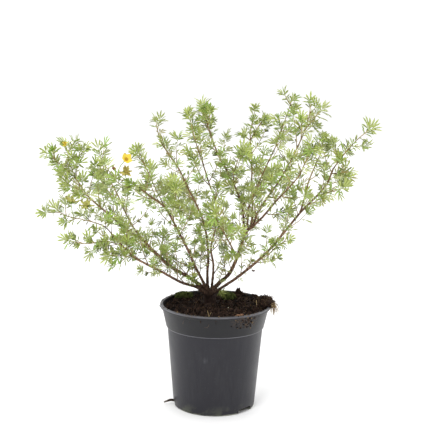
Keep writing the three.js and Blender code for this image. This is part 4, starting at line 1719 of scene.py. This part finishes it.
@dataclass
class Axis:
    """One line of growth with its girth, the size and number of its leaves and how much of it is bare."""

    points: list[Vector]
    girths: tuple[float, float]
    vigour: float = 1.0
    bare: float = 0.0
    spacing: float = 0.006
    cluster: float = 2.0
    tuft: float = 6.0

    def at(self, share: float) -> tuple[Vector, Vector]:
        """Gives a place on the axis and the direction of growth there.

        Args:
            share: How far along, from 0 to 1.

        Returns:
            The place and the direction.
        """
        i = min(int(share * (len(self.points) - 1)), len(self.points) - 2)
        return self.points[i].copy(), (self.points[i + 1] - self.points[i]).normalized()

    def girth(self, share: float) -> float:
        """Radius at a place, with a flared foot and a tapered end."""
        flare = 1 + 0.35 * max(0.0, 1 - share * len(self.points) / 3)
        tip = min(1.0, (1 - share) * len(self.points) / 2 + 0.45)
        return (self.girths[0] + (self.girths[1] - self.girths[0]) * share) * flare * tip


@dataclass(frozen=True)
class Twig:
    """A side twig: its share along its parent, its turn and opening in radians and its length in metres."""

    share: float
    turn: float
    opening: float
    length: float

    def line(self, parent: Axis) -> list[Vector]:
        """Gives the twig's line of growth, which leaves its parent at an angle and bends up.

        Args:
            parent: The line that it stands on.

        Returns:
            Its points.
        """
        spot, ahead = parent.at(self.share)
        side = Quaternion(ahead, self.turn) @ ahead.orthogonal().normalized()
        heading = ahead * math.cos(self.opening) + side * math.sin(self.opening)
        points = [spot]
        for _ in range(max(2, round(self.length / STEP))):
            heading = (heading + UP * 0.045 + wander(points[-1] * 140) * 0.09).normalized()
            points.append(points[-1] + heading * STEP)
        return points

    def axis(self, line: list[Vector], vigour: float) -> Axis:
        """Gives the twig with its girth and leaves, which are small low down on the shrub.

        Args:
            line: Its line of growth.
            vigour: Size factor of its leaves.

        Returns:
            The twig.
        """
        vigour *= min(1.0, max(0.75, 0.75 + 2.1 * (line[0].z - 0.2)))
        tuft = 2.0 if self.length < 0.010 else 3.0
        return Axis(line, (0.00045 + 0.007 * self.length, 0.0004), vigour, 0.15, 0.0084, 2.0, tuft)


class Growth:
    """The shrub's wood and leaves: lines of growth, skinned and leafed by Geometry Nodes."""

    LAYERS = ("share", "girth", "vigour", "bare", "spacing", "cluster", "tuft")

    def __init__(self) -> None:
        """Makes the leaves and the trees."""
        shapes = [LeafShape(LeafKind.OPEN), LeafShape(LeafKind.NARROW, fold=0.42, recurve=0.05),
                  LeafShape(LeafKind.OPEN, fold=0.22, recurve=0.3), LeafShape(LeafKind.THREE, 0.003),
                  LeafShape(LeafKind.NARROW, fold=0.3, recurve=0.22),
                  LeafShape(LeafKind.BUDDING, 0.0026, 0.0018, 0.5, -0.05)]
        meshes = []
        for order, shape in enumerate(shapes):
            mesh = shape.mesh()
            mesh.name = f"leaf_{order}"
            meshes.append(mesh)
        self.leaves = kit_of("leaves", meshes)
        self.wood = self.wood_tree()
        self.leafy = self.leaf_tree()

    def wood_tree(self) -> Geometry:
        """Builds the tree that skins lines of growth with uneven bark.

        Returns:
            The tree.
        """
        tree = Geometry("limb_skin", {"Step": float, "Sides": int, "Roughness": float, "Bark": "material"})
        graph, given = tree.graph, tree.given
        curve = graph.out("GeometryNodeMeshToCurve", (given["Geometry"],))
        curve = graph.out("GeometryNodeSetCurveRadius", {"Curve": curve, "Radius": 1.0})
        curve = graph.out("GeometryNodeResampleCurve", {"Curve": curve, "Length": given["Step"]},
                          mode="LENGTH")
        ring = graph.out("GeometryNodeCurvePrimitiveCircle", {"Resolution": given["Sides"], "Radius": 1.0})
        girth = graph.attribute("girth")
        skin = graph.out("GeometryNodeCurveToMesh", {"Curve": curve, "Profile Curve": ring, "Scale": girth,
                                                     "Fill Caps": True})
        place = graph.out("GeometryNodeInputPosition")
        bulge = graph.spread(graph.noise(place, 260, 4, 0.6), 0.25, 0.75, -0.5, 0.6)
        height = graph.times(graph.times(bulge, girth), given["Roughness"])
        offset = graph.scaled(graph.out("GeometryNodeInputNormal"), height)
        skin = graph.out("GeometryNodeSetPosition", {"Geometry": skin, "Offset": offset})
        skin = graph.out("GeometryNodeSetShadeSmooth", {"Geometry": skin, "Shade Smooth": True})
        skin = graph.out("GeometryNodeRealizeInstances", (skin,))
        tree.finish(graph.out("GeometryNodeSetMaterial", {"Geometry": skin, "Material": given["Bark"]}))
        return tree

    def leaf_tree(self) -> Geometry:
        """Builds the tree that sets leaves on lines of growth, in a spiral along each and bunched at its tip.

        Returns:
            The tree.
        """
        tree = Geometry("leaf_spiral", {"Leaves": "collection", "Leaf Size": float, "Seed": int,
                                        "Finish": "material"})
        graph, given = tree.graph, tree.given
        seed = given["Seed"]
        curve = graph.out("GeometryNodeMeshToCurve", (given["Geometry"],))
        share = graph.attribute("share")
        along = self.nodes_along(graph, curve, {"Length": graph.attribute("spacing")}, "LENGTH")
        is_bare = graph.below(share, graph.attribute("bare"))
        along = graph.out("GeometryNodeDeleteGeometry", (along, is_bare), domain="POINT")
        amount = graph.chance(seed, 0, 1, graph.attribute("cluster"), "INT")
        many = graph.add("GeometryNodeDuplicateElements", {"Geometry": along, "Amount": amount},
                         domain="POINT")
        lean = graph.chance(seed, 1, 0.55, 1.25)
        side_leaves = self.marked(graph, many.outputs[0], lean, graph.times(share, 0.8))
        ends = self.nodes_along(graph, curve, {"Count": 2}, "COUNT")
        ends = graph.out("GeometryNodeDeleteGeometry", (ends, graph.below(share, 0.99)), domain="POINT")
        amount = graph.attribute("tuft")
        many = graph.add("GeometryNodeDuplicateElements", {"Geometry": ends, "Amount": amount},
                         domain="POINT")
        order = many.outputs["Duplicate Index"]
        lean = graph.out("ShaderNodeMapRange", (order, 0.0, 5.0, 0.2, 1.25))
        youth = graph.out("ShaderNodeMapRange", (order, 0.0, 5.0, 1.3, 0.6))
        tip_leaves = self.marked(graph, many.outputs[0], lean, youth)
        growth = graph.out("GeometryNodeInputNamedAttribute", {"Name": "growth"}, data_type="FLOAT_VECTOR")
        back = graph.scaled(growth, graph.times(order, -0.0009))
        tip_leaves = graph.out("GeometryNodeSetPosition", {"Geometry": tip_leaves, "Offset": back})
        both = graph.add("GeometryNodeJoinGeometry")
        for part in (tip_leaves, side_leaves):
            graph.tree.links.new(part, both.inputs[0])
        spots = both.outputs[0]
        turn = graph.math("ADD", graph.times(graph.out("GeometryNodeInputIndex"), GOLDEN_ANGLE),
                          graph.chance(seed, 2, -0.4, 0.4))
        rotation = graph.out("FunctionNodeAlignRotationToVector", {"Vector": growth}, axis="Z")
        for axis, angle in (((0, 0, 1), turn), ((0, 1, 0), graph.attribute("lean")),
                            ((0, 0, 1), graph.chance(seed, 6, -0.5, 0.5)),
                            ((1, 0, 0), graph.chance(seed, 7, -0.3, 0.3))):
            step = graph.out("FunctionNodeAxisAngleToRotation", {"Axis": axis, "Angle": angle})
            rotation = graph.out("FunctionNodeRotateRotation", (rotation, step), rotation_space="LOCAL")
        size = graph.times(graph.times(given["Leaf Size"], graph.attribute("vigour")),
                           graph.chance(seed, 3, 0.85, 1.2))
        kit = graph.out("GeometryNodeCollectionInfo", (given["Leaves"], True, True))
        set_out = graph.out("GeometryNodeInstanceOnPoints", {
            "Points": spots, "Instance": kit, "Pick Instance": True,
            "Instance Index": graph.chance(seed, 4, 0, 50, "INT"), "Rotation": rotation, "Scale": size})
        real = graph.out("GeometryNodeRealizeInstances", (set_out,))
        tree.finish(graph.out("GeometryNodeSetMaterial", {"Geometry": real, "Material": given["Finish"]}))
        return tree

    @staticmethod
    def nodes_along(graph: NodeGraph, curve: Socket, inputs: dict[str, Any], mode: str) -> Socket:
        """Sets points along curves and stores the direction of growth on them.

        Args:
            graph: The tree's nodes.
            curve: The curves.
            inputs: Count or Length.
            mode: COUNT or LENGTH.

        Returns:
            The points.
        """
        points = graph.add("GeometryNodeCurveToPoints", {"Curve": curve, **inputs}, mode=mode)
        return graph.store(points.outputs["Points"], "growth", points.outputs["Tangent"], "FLOAT_VECTOR")

    def marked(self, graph: NodeGraph, points: Socket, lean: Socket, youth: Socket) -> Socket:
        """Stores each leaf's lean, youth and tint on its point.

        Args:
            graph: The tree's nodes.
            points: The points.
            lean: Angle between leaf and growth, in radians.
            youth: From 0 for the oldest leaf to 1 and above for the youngest.

        Returns:
            The marked points.
        """
        tint = graph.out("FunctionNodeRandomValue", {"Min": 0.0, "Max": 1.0}, data_type="FLOAT")
        for name, value in (("lean", lean), ("youth", youth), ("tint", tint)):
            points = graph.store(points, name, value)
        return points

    def lines(self, axes: Sequence[Axis]) -> bpy.types.Object:
        """Makes the helper object that holds lines of growth with their values.

        Args:
            axes: The lines.

        Returns:
            The helper object.
        """
        vertices, edges = [], []
        values: dict[str, list[float]] = {name: [] for name in self.LAYERS}
        for axis in axes:
            start, count = len(vertices), len(axis.points)
            vertices += [tuple(p) for p in axis.points]
            edges += [(start + i, start + i + 1) for i in range(count - 1)]
            for i in range(count):
                share = i / (count - 1)
                row = (share, axis.girth(share), axis.vigour, axis.bare, axis.spacing, axis.cluster,
                       axis.tuft)
                for name, value in zip(self.LAYERS, row):
                    values[name].append(value)
        mesh = bpy.data.meshes.new("lines")
        mesh.from_pydata(vertices, edges, [])
        for name, column in values.items():
            set_floats(mesh, name, column)
        return helper_object(mesh)

    def skinned(self, name: str, axes: Sequence[Axis], sides: int, step: float,
                rough: float) -> bpy.types.Mesh:
        """Makes the wood of lines of growth.

        Args:
            name: Name of the mesh.
            axes: The lines.
            sides: Sides round each.
            step: Length of a ring.
            rough: Unevenness as a share of the girth.

        Returns:
            The mesh.
        """
        helper = self.lines(axes)
        self.wood.put_on(helper, Step=step, Sides=sides, Roughness=rough, Bark=BARK.material())
        return settled(helper, name, ("girth",))

    def leafed(self, name: str, axes: Sequence[Axis], size: float, seed: int) -> bpy.types.Mesh:
        """Makes the leaves of lines of growth.

        Args:
            name: Name of the mesh.
            axes: The lines.
            size: Size factor of the leaves.
            seed: Seed of their places.

        Returns:
            The mesh.
        """
        helper = self.lines(axes)
        self.leafy.put_on(helper, Leaves=self.leaves, Leaf_Size=size, Seed=seed, Finish=LEAF.material())
        return settled(helper, name, ("tint", "youth", "rib", "under", "shade"))

    def clear(self) -> None:
        """Removes the leaf kit and the trees."""
        discard(self.leaves)
        for tree in (self.wood, self.leafy):
            bpy.data.node_groups.remove(tree.tree)


def joined(name: str, meshes: Sequence[bpy.types.Mesh]) -> bpy.types.Mesh:
    """Joins meshes with their materials and attributes.

    Args:
        name: Name of the result.
        meshes: The meshes, which are used up.

    Returns:
        The joined mesh.
    """
    parts = [helper_object(mesh) for mesh in meshes]
    with bpy.context.temp_override(active_object=parts[0], selected_editable_objects=parts,
                                   selected_objects=parts):
        bpy.ops.object.join()
    mesh = parts[0].data
    mesh.name = name
    bpy.data.objects.remove(parts[0])
    return mesh


@dataclass
class Shrub:
    """Rootstock, stems, side twigs and shoots."""

    rng: random.Random
    growth: Growth
    crown_centre: Knot = (-9, 2, 166)
    crown_half: Knot = (13, 11.5, 21)
    leaf_size: float = 1.12
    leaf_gap: float = 0.0085
    margin: float = 0.010
    lowest_tip: float = 0.205
    flower_view: float = 0.007
    withered_leaves: tuple[tuple[Knot, float], ...] = (
        ((-25, 234, -12), 2.6), ((57, 211, -32), 2.4), ((46, 274, 20), 2.2), ((-22, 214, 4), 1.8))

    def has_room(self, line: Sequence[Vector]) -> bool:
        """Tells whether a twig stays inside the model's box, off the ground and out of the gaps and flowers.

        Args:
            line: Its line of growth.

        Returns:
            True where it may grow.
        """
        tip = line[-1]
        low, high = CAD_BOX
        inside = all(a + self.margin < value < b - self.margin for a, b, value in zip(low, high, tip))
        seen = measured(tip)
        in_gap = any(math.hypot(seen.x - x * MM, seen.z - z * MM) < radius * MM for x, z, radius in GAPS)
        heads = [measured(sighted(flower.stalk[-1])) for flower in FLOWERS]
        hides = any((measured(point) - head).length < self.flower_view for point in line for head in heads)
        return inside and tip.z > self.lowest_tip and not in_gap and not hides

    def side_twigs(self, name: str, main: Axis, habit: Twigs) -> list[Axis]:
        """Grows side twigs in a loose spiral along a line, each the first of a few turns that has room.

        Args:
            name: The line's name, which seeds its chances.
            main: The line.
            habit: How the twigs stand on it.

        Returns:
            The twigs.
        """
        rng = random.Random(name)
        reach = STEP * (len(main.points) - 1)
        place, turn = habit.bare * reach, rng.uniform(0, 2 * math.pi)
        axes = []
        while place < reach:
            opening = math.radians(rng.uniform(32, 62))
            length = habit.longest * MM * rng.uniform(0.55, 1.0)
            for attempt in range(4):
                twig = Twig(place / reach, turn + GOLDEN_ANGLE * attempt, opening, length)
                line = twig.line(main)
                if self.has_room(line):
                    axes.append(twig.axis(line, main.vigour * 0.92))
                    break
            place += habit.gap * MM * rng.uniform(0.6, 1.4)
            turn += GOLDEN_ANGLE + rng.uniform(-0.4, 0.4)
        return axes

    def main_line(self, route: Sequence[Knot], radii: tuple[float, float], vigour: float,
                  short: int = 0) -> Axis:
        """Gives a stem's or shoot's line of growth.

        Args:
            route: Its knots.
            radii: Its radii at both ends, in metres.
            vigour: Size factor of its leaves.
            short: Points that its wood stops short of the last knot, which its leaves reach.

        Returns:
            The line.
        """
        points = smooth_line([sighted(knot) for knot in route], STEP)
        return Axis(points[:len(points) - short], radii, vigour, 0.1, self.leaf_gap, 2.0, 3.0)

    def stems(self) -> None:
        """Makes every stem and its leafy side twigs."""
        for order, stem in enumerate(STEMS):
            main = self.main_line(stem.route, stem.girths, 1.0)
            twigs = self.side_twigs(stem.name, main, stem.twigs)
            wood = self.growth.skinned(stem.name, [main], 10, 0.0016, 0.42)
            finished(stem.name, wood, [stem.name])
            name = stem.name.replace("stem", "twigs")
            twig_wood = self.growth.skinned(name + "_wood", twigs, 5, 0.003, 0.25)
            leaves = self.growth.leafed(name + "_leaves", twigs, self.leaf_size, 100 + 10 * order)
            finished(name, joined(name, [twig_wood, leaves]))

    def shoots(self) -> None:
        """Makes every leafy shoot."""
        for order, shoot in enumerate(SHOOTS):
            axes = []
            for route in filter(None, (shoot.route, shoot.fork)):
                main = self.main_line(route, (0.0009, 0.0006), shoot.vigour, shoot.short)
                axes += [main, *self.side_twigs(f"{shoot.name}_{len(axes)}", main, shoot.twigs)]
            wood = self.growth.skinned(shoot.name + "_wood", axes, 6, 0.0025, 0.2)
            leaves = self.growth.leafed(shoot.name + "_leaves", axes, self.leaf_size, 500 + 10 * order)
            finished(shoot.name, joined(shoot.name, [wood, leaves]), [shoot.name])

    def rootstock(self) -> bpy.types.Object:
        """Makes the woody base that the stems flare out of.

        Returns:
            The finished piece.
        """
        builder = Builder()
        centre = Vector(self.crown_centre) * MM
        half = [value * MM for value in self.crown_half]

        def swell(direction: Vector) -> float:
            ridges = 0.16 * noise.noise(Vector((direction.x * 4, direction.y * 4, direction.z * 0.8)))
            return 0.74 + ridges + 0.08 * noise.noise(direction * 5)

        builder.add(rough_ball(centre, half, 4, swell), BARK)
        for stem in STEMS[:7]:
            axis = self.main_line(stem.route, stem.girths, 1.0)
            foot = Vector((centre.x, centre.y, centre.z - 0.006))
            start = axis.points[0]
            middle = (foot + start) / 2 + UP * 0.002
            line = smooth_line([foot, middle, start, axis.points[4], axis.points[8]], 0.002)
            radii = [axis.girths[0] * (1.75 - 0.75 * i / (len(line) - 1)) for i in range(len(line))]
            builder.add(tube(line, radii, 10), BARK)
        for i in range(9):
            turn = GOLDEN_ANGLE * i
            reach = self.rng.uniform(0.018, 0.030)
            side = compass(turn)
            line = smooth_line([centre - UP * 0.010, centre + side * 0.010 - UP * 0.008,
                                centre + side * reach - UP * self.rng.uniform(0.011, 0.0135),
                                centre + side * (reach + 0.012) - UP * 0.020], 0.002)
            radii = [0.0026 * (1 - 0.75 * j / (len(line) - 1)) for j in range(len(line))]
            builder.add(tube(line, radii, 8), BARK)
        helper = helper_object(builder.mesh("rootstock_rough"))
        melt = helper.modifiers.new("melt", "REMESH")
        melt.mode, melt.voxel_size, melt.use_smooth_shade = "VOXEL", 0.0009, True
        mesh = settled(helper, "rootstock")
        for vertex in mesh.vertices:
            grain = Vector((vertex.co.x * 420, vertex.co.y * 420, vertex.co.z * 110))
            vertex.co += vertex.normal * noise.fractal(grain, 0.9, 2.0, 4) * 0.0009
        set_floats(mesh, "girth", [0.003] * len(mesh.vertices))
        mesh.materials.clear()
        mesh.materials.append(BARK.material())
        return finished("rootstock", mesh, ["rootstock"])

    def drain_root(self) -> bpy.types.Object:
        """Makes the root that grows out of the left drain notch.

        Returns:
            The finished piece.
        """
        knots = [(-55, -8, 4), (-61, -10.5, 6.4), (-67, -12, 7.4), (-72, -13, 6.0), (-77, -13.5, 4.2)]
        main = smooth_line([Vector(knot) * MM for knot in knots], 0.0009)
        builder = Builder()
        count = len(main) - 1
        radii = []
        for i, point in enumerate(main):
            thick = 0.0014 + 0.0010 * math.sin(math.pi * i / count) + 0.0003 * noise.noise(point * 700)
            radii.append(thick * (1 - 0.45 * i / count))
        builder.add(tube(main, radii, 9), CHIP)
        for i in range(9):
            base = main[int(count * (0.45 + 0.055 * i))]
            turn = GOLDEN_ANGLE * i
            side = Vector((-1.0, 0.7 * math.cos(turn), 0.6 * math.sin(turn) + 0.1)).normalized()
            line = [base + side * 0.0008 * j - UP * 0.00005 * j * j for j in range(6)]
            line = [Vector((p.x, p.y, max(p.z, 0.0006))) for p in line]
            builder.add(tube(line, [0.00038 * (1 - 0.12 * j) for j in range(6)], 4), STRAW)
        return finished("drain_root", builder.mesh("drain_root"), ["drain_root"])

    def withered(self) -> bpy.types.Object:
        """Makes the few dark curled leaves that still hang on the inner twigs.

        Returns:
            The finished piece.
        """
        builder = Builder()
        routes = [[sighted(knot) for knot in stem.route] for stem in STEMS]
        wood = [point for route in routes for point in smooth_line(route, STEP)]
        for knot, size in self.withered_leaves:
            centre = sighted(knot)
            near = min(wood, key=lambda point: (point - centre).length)
            stalk = [near, near.lerp(centre, 0.5) + UP * 0.001, centre]
            builder.add(tube(stalk, [0.00045, 0.0004, 0.0004], 4), WITHERED)
            for i in range(4):
                away = compass(GOLDEN_ANGLE * i) + UP * 0.4 * math.sin(3 * i)
                half = [size * MM * share for share in (0.75, 0.5, 0.42)]
                swell = uneven(0.7, 2.4, (i * 3.3, size, 0))
                builder.add(rough_ball(centre + away * size * 0.45 * MM, half, 2, swell), WITHERED)
        return finished("withered_leaves", builder.mesh("withered_leaves"))


# Flowers


class FlowerState(Enum):
    """How a flower looks: its petals' length, their number, how far they open and how much that varies."""

    OPEN = (0.0078, 5, 1.15, 0.1)
    FADED = (0.0052, 9, 1.1, 0.75)
    BUD = (0.0046, 5, 0.2, 0.1)


@dataclass(frozen=True)
class Flower:
    """A flower or withered head on its stalk, with knots as for stems."""

    name: str
    state: FlowerState
    stalk: tuple[Knot, ...]
    finish: Finish
    size: float = 1.0

    @staticmethod
    def seated(turn: float, lift: float, out: float, up: float) -> Matrix:
        """Gives the place of a petal or sepal on the flower head.

        Args:
            turn: Its turn round the head, in radians.
            lift: How far it is raised from level, in radians.
            out: Its distance from the middle, in metres.
            up: Its height above the base, in metres.

        Returns:
            Its matrix in the head's frame.
        """
        spot = Matrix.Translation((out, 0, up))
        return Matrix.Rotation(turn, 4, "Z") @ spot @ Matrix.Rotation(-lift, 4, "Y")

    @staticmethod
    def petal(length: float, width: float, cup: float, curl: float) -> tuple[Shape, list[float]]:
        """Makes one rounded petal as a thin closed shell, growing along +X with its inner face up.

        Args:
            length: Its length.
            width: Its width.
            cup: Depth of its cup.
            curl: Unevenness of its edge.

        Returns:
            Its shape and rib values.
        """
        rows, columns = 5, 5
        stride = columns + 1
        vertices, ribs = [], []
        for layer in (1, -1):
            for i in range(rows + 1):
                t = i / rows
                wide = width * math.sin(math.pi * min(0.08 + 0.86 * t**0.8, 0.97)) ** 0.6
                for j in range(columns + 1):
                    s = 2 * j / columns - 1
                    lift = cup * (t * t * 0.9 + s * s * 0.35 * t) + curl * math.sin(5 * s + 7 * t) * t
                    x = length * (t - 0.1 * s * s * t)
                    vertices.append(Vector((x, wide * s / 2, lift + layer * 0.00006)))
                    ribs.append(max(0.0, 1 - 2.2 * t))
        side = (rows + 1) * stride
        faces = []
        for i in range(rows):
            for j in range(columns):
                a = i * stride + j
                b, c, d = a + 1, a + stride + 1, a + stride
                faces += [(a, d, c, b), (side + a, side + b, side + c, side + d)]
        loop = [*range(stride), *(i * stride + columns for i in range(1, rows + 1))]
        loop += [rows * stride + j for j in range(columns - 1, -1, -1)]
        loop += [i * stride for i in range(rows - 1, 0, -1)]
        faces += [(a, b, side + b, side + a) for a, b in zip(loop, loop[1:] + loop[:1])]
        return (vertices, faces), ribs

    def build(self, rng: random.Random) -> bpy.types.Object:
        """Makes the flower.

        Args:
            rng: Source of chance.

        Returns:
            The finished piece.
        """
        length, count, opening, ragged = self.state.value
        length *= self.size
        line = smooth_line([sighted(knot) for knot in self.stalk], 0.0015)
        builder = Builder()
        builder.add(tube(line, [0.00055] * len(line), 6), LEAF, [1.0] * (6 * len(line)))
        facing = (line[-1] - line[-3]).normalized()
        if self.state is FlowerState.OPEN:
            facing = (facing + Vector((0.25, -0.9, 0.25))).normalized()
        place = Matrix.Translation(line[-1]) @ UP.rotation_difference(facing).to_matrix().to_4x4()
        withered = self.state is not FlowerState.OPEN
        width, cup, curl = (0.5, 0.28, 0.12) if withered else (0.98, 0.16, 0.02)
        for i in range(count):
            turn = 2 * math.pi * i / count + rng.uniform(-0.08, 0.08)
            lift = math.pi / 2 - opening + rng.uniform(-ragged, ragged)
            long = length * rng.uniform(0.9, 1.05)
            petal, ribs = self.petal(long, length * width, length * cup, length * curl)
            builder.add(petal, self.finish, ribs, place @ self.seated(turn, lift, 0.0011, 0.0009))
            sepal, _ = self.petal(length * 0.62, length * 0.34, length * 0.1, 0.0)
            seat = self.seated(turn + math.pi / count, lift - 0.3, 0.0006, 0.0)
            builder.add(sepal, LEAF, [0.0] * len(sepal[0]), place @ seat)
        centre = self.finish if withered else STAMEN
        boss = rough_ball((0, 0, 0.0012), (0.0016, 0.0016, 0.0011), 2, uneven(0.15, 4))
        builder.add(boss, centre, (), place)
        for i in range(20):
            turn, lean = GOLDEN_ANGLE * i, 0.25 + 0.7 * (i / 20) ** 0.5
            tip = leaning(turn, lean) * 0.0031
            filament = [point + UP * 0.0009 for point in (tip * 0.3, tip)]
            builder.add(tube(filament, [0.00012, 0.0001], 3), centre, (), place)
            head = rough_ball(tip + UP * 0.0010, (0.0004, 0.0004, 0.0003), 1, uneven(0.0, 1.0))
            builder.add(head, centre, (), place)
        mesh = builder.mesh(self.name)
        set_floats(mesh, "tint", [0.4] * len(mesh.vertices))
        set_floats(mesh, "youth", [0.6] * len(mesh.vertices))
        return finished(self.name, mesh, [self.name] if self.name in frame["nodes"] else [])


FLOWERS = (
    Flower("flower_open", FlowerState.OPEN,
           ((-140, 349, -119), (-149, 358, -122), (-146, 368, -126), (-138, 378, -130)), YELLOW, 1.15),
    Flower("flower_faded_high", FlowerState.FADED,
           ((-136, 347, -118), (-138, 353, -128), (-137, 359, -136)), BROWNED, 1.7),
    Flower("flower_bud", FlowerState.BUD,
           ((-136, 347, -118), (-146, 354, -127), (-153, 362, -134)), RUSSET, 1.5),
    Flower("flower_far_left", FlowerState.FADED,
           ((-228, 392, -9), (-229, 396, -15), (-229, 400, -21)), YELLOW, 0.8),
    Flower("flower_low_left_outer", FlowerState.FADED,
           ((-216, 289, -119), (-219, 301, -123), (-220, 311, -125)), FADED, 2.0),
    Flower("flower_low_left_inner", FlowerState.FADED,
           ((-196, 285, -117), (-197, 298, -123), (-197, 307, -127)), FADED, 1.9),
)


# Studio


@dataclass
class Studio:
    """Plain white floor, soft light all round and the camera of the front view."""

    focal_length: float = 90.6
    pitch: float = 9.73
    roll: float = 0.89
    floor_half: float = 4.0

    def camera(self) -> None:
        """Sets up the camera."""
        data = bpy.data.cameras.new("front_camera")
        data.lens, data.sensor_width, data.clip_end = self.focal_length, 36.0, 50.0
        camera = bpy.data.objects.new("front_camera", data)
        bpy.context.scene.collection.objects.link(camera)
        tilt = Matrix.Rotation(math.radians(90 - self.pitch), 4, "X")
        roll = Matrix.Rotation(math.radians(self.roll), 4, "Z")
        camera.matrix_world = Matrix.Translation(EYE) @ tilt @ roll
        bpy.context.scene.camera = camera

    def floor(self) -> None:
        """Makes the pale floor."""
        half = self.floor_half
        corners = [(-half, -half, 0), (half, -half, 0), (half, half, 0), (-half, half, 0)]
        mesh = mesh_from("floor", corners, [(0, 1, 2, 3)])
        material = bpy.data.materials.new("floor_white")
        material.use_nodes = True
        shader = material.node_tree.nodes["Principled BSDF"]
        shader.inputs["Base Color"].default_value = (0.93, 0.93, 0.935, 1.0)
        shader.inputs["Roughness"].default_value = 0.7
        mesh.materials.append(material)
        helper_object(mesh)
        bpy.data.objects["helper"].name = "floor"

    def light(self, name: str, place: Sequence[float], size: tuple[float, float], power: float) -> None:
        """Adds a soft box that faces the shrub.

        Args:
            name: Its name.
            place: Where it stands.
            size: Its width and height.
            power: Its power in watts.
        """
        data = bpy.data.lights.new(name, "AREA")
        data.shape, data.size, data.size_y, data.energy = "RECTANGLE", *size, power
        lamp = bpy.data.objects.new(name, data)
        bpy.context.scene.collection.objects.link(lamp)
        spot = Vector(place)
        aim = (Vector((0, 0, 0.25)) - spot).to_track_quat("-Z", "Y").to_matrix().to_4x4()
        lamp.matrix_world = Matrix.Translation(spot) @ aim

    def surroundings(self) -> None:
        """Makes the white surroundings: darker on the camera's side, white where they are seen directly."""
        world = bpy.data.worlds.new("studio")
        bpy.context.scene.world = world
        world.use_nodes = True
        world.node_tree.nodes.clear()
        graph = NodeGraph(world.node_tree)
        direction = graph.out("ShaderNodeTexCoord", pick="Generated")
        parts = graph.add("ShaderNodeSeparateXYZ", (direction,)).outputs
        round_about = graph.spread(parts[1], -0.76, 0.06, 0.59, 1.82)
        above = graph.spread(parts[2], 0.35, 1.0, 1.0, 0.75)
        light = graph.out("ShaderNodeBackground", ((1.0, 1.0, 1.0, 1.0), graph.times(round_about, above)))
        white = graph.out("ShaderNodeBackground", ((1.0, 1.0, 1.0, 1.0), 1.05))
        seen = graph.out("ShaderNodeLightPath", pick="Is Camera Ray")
        surface = graph.out("ShaderNodeMixShader", (seen, light, white))
        graph.add("ShaderNodeOutputWorld", {"Surface": surface})

    def build(self) -> None:
        """Sets up everything round the shrub."""
        self.camera()
        self.floor()
        self.surroundings()
        self.light("key_box", (-0.5, -1.3, 1.9), (0.7, 0.7), 22)
        view = bpy.context.scene.view_settings
        view.view_transform = "Standard"


def main() -> None:
    """Builds the shrub in its pot and its studio."""
    logging.basicConfig(level=logging.INFO, format="%(message)s")
    Studio().build()
    rng = random.Random(7)
    pot = Pot()
    pot.build()
    pot.crumbs(rng)
    ground = Ground(pot)
    ground.prepare()
    ground.compost()
    ground.spill()
    ground.moss("moss_left", (-0.050, 0.050, 0.157), (0.014, 0.009, 0.005), 21)
    ground.moss("moss_right", (0.020, 0.038, 0.159), (0.010, 0.009, 0.006), 22)
    ground.bark_pieces(rng)
    ground.clear()
    growth = Growth()
    shrub = Shrub(rng, growth)
    shrub.rootstock()
    shrub.drain_root()
    shrub.stems()
    shrub.shoots()
    shrub.withered()
    growth.clear()
    for flower in FLOWERS:
        flower.build(rng)
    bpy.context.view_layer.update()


if __name__ == "__main__":
    main()
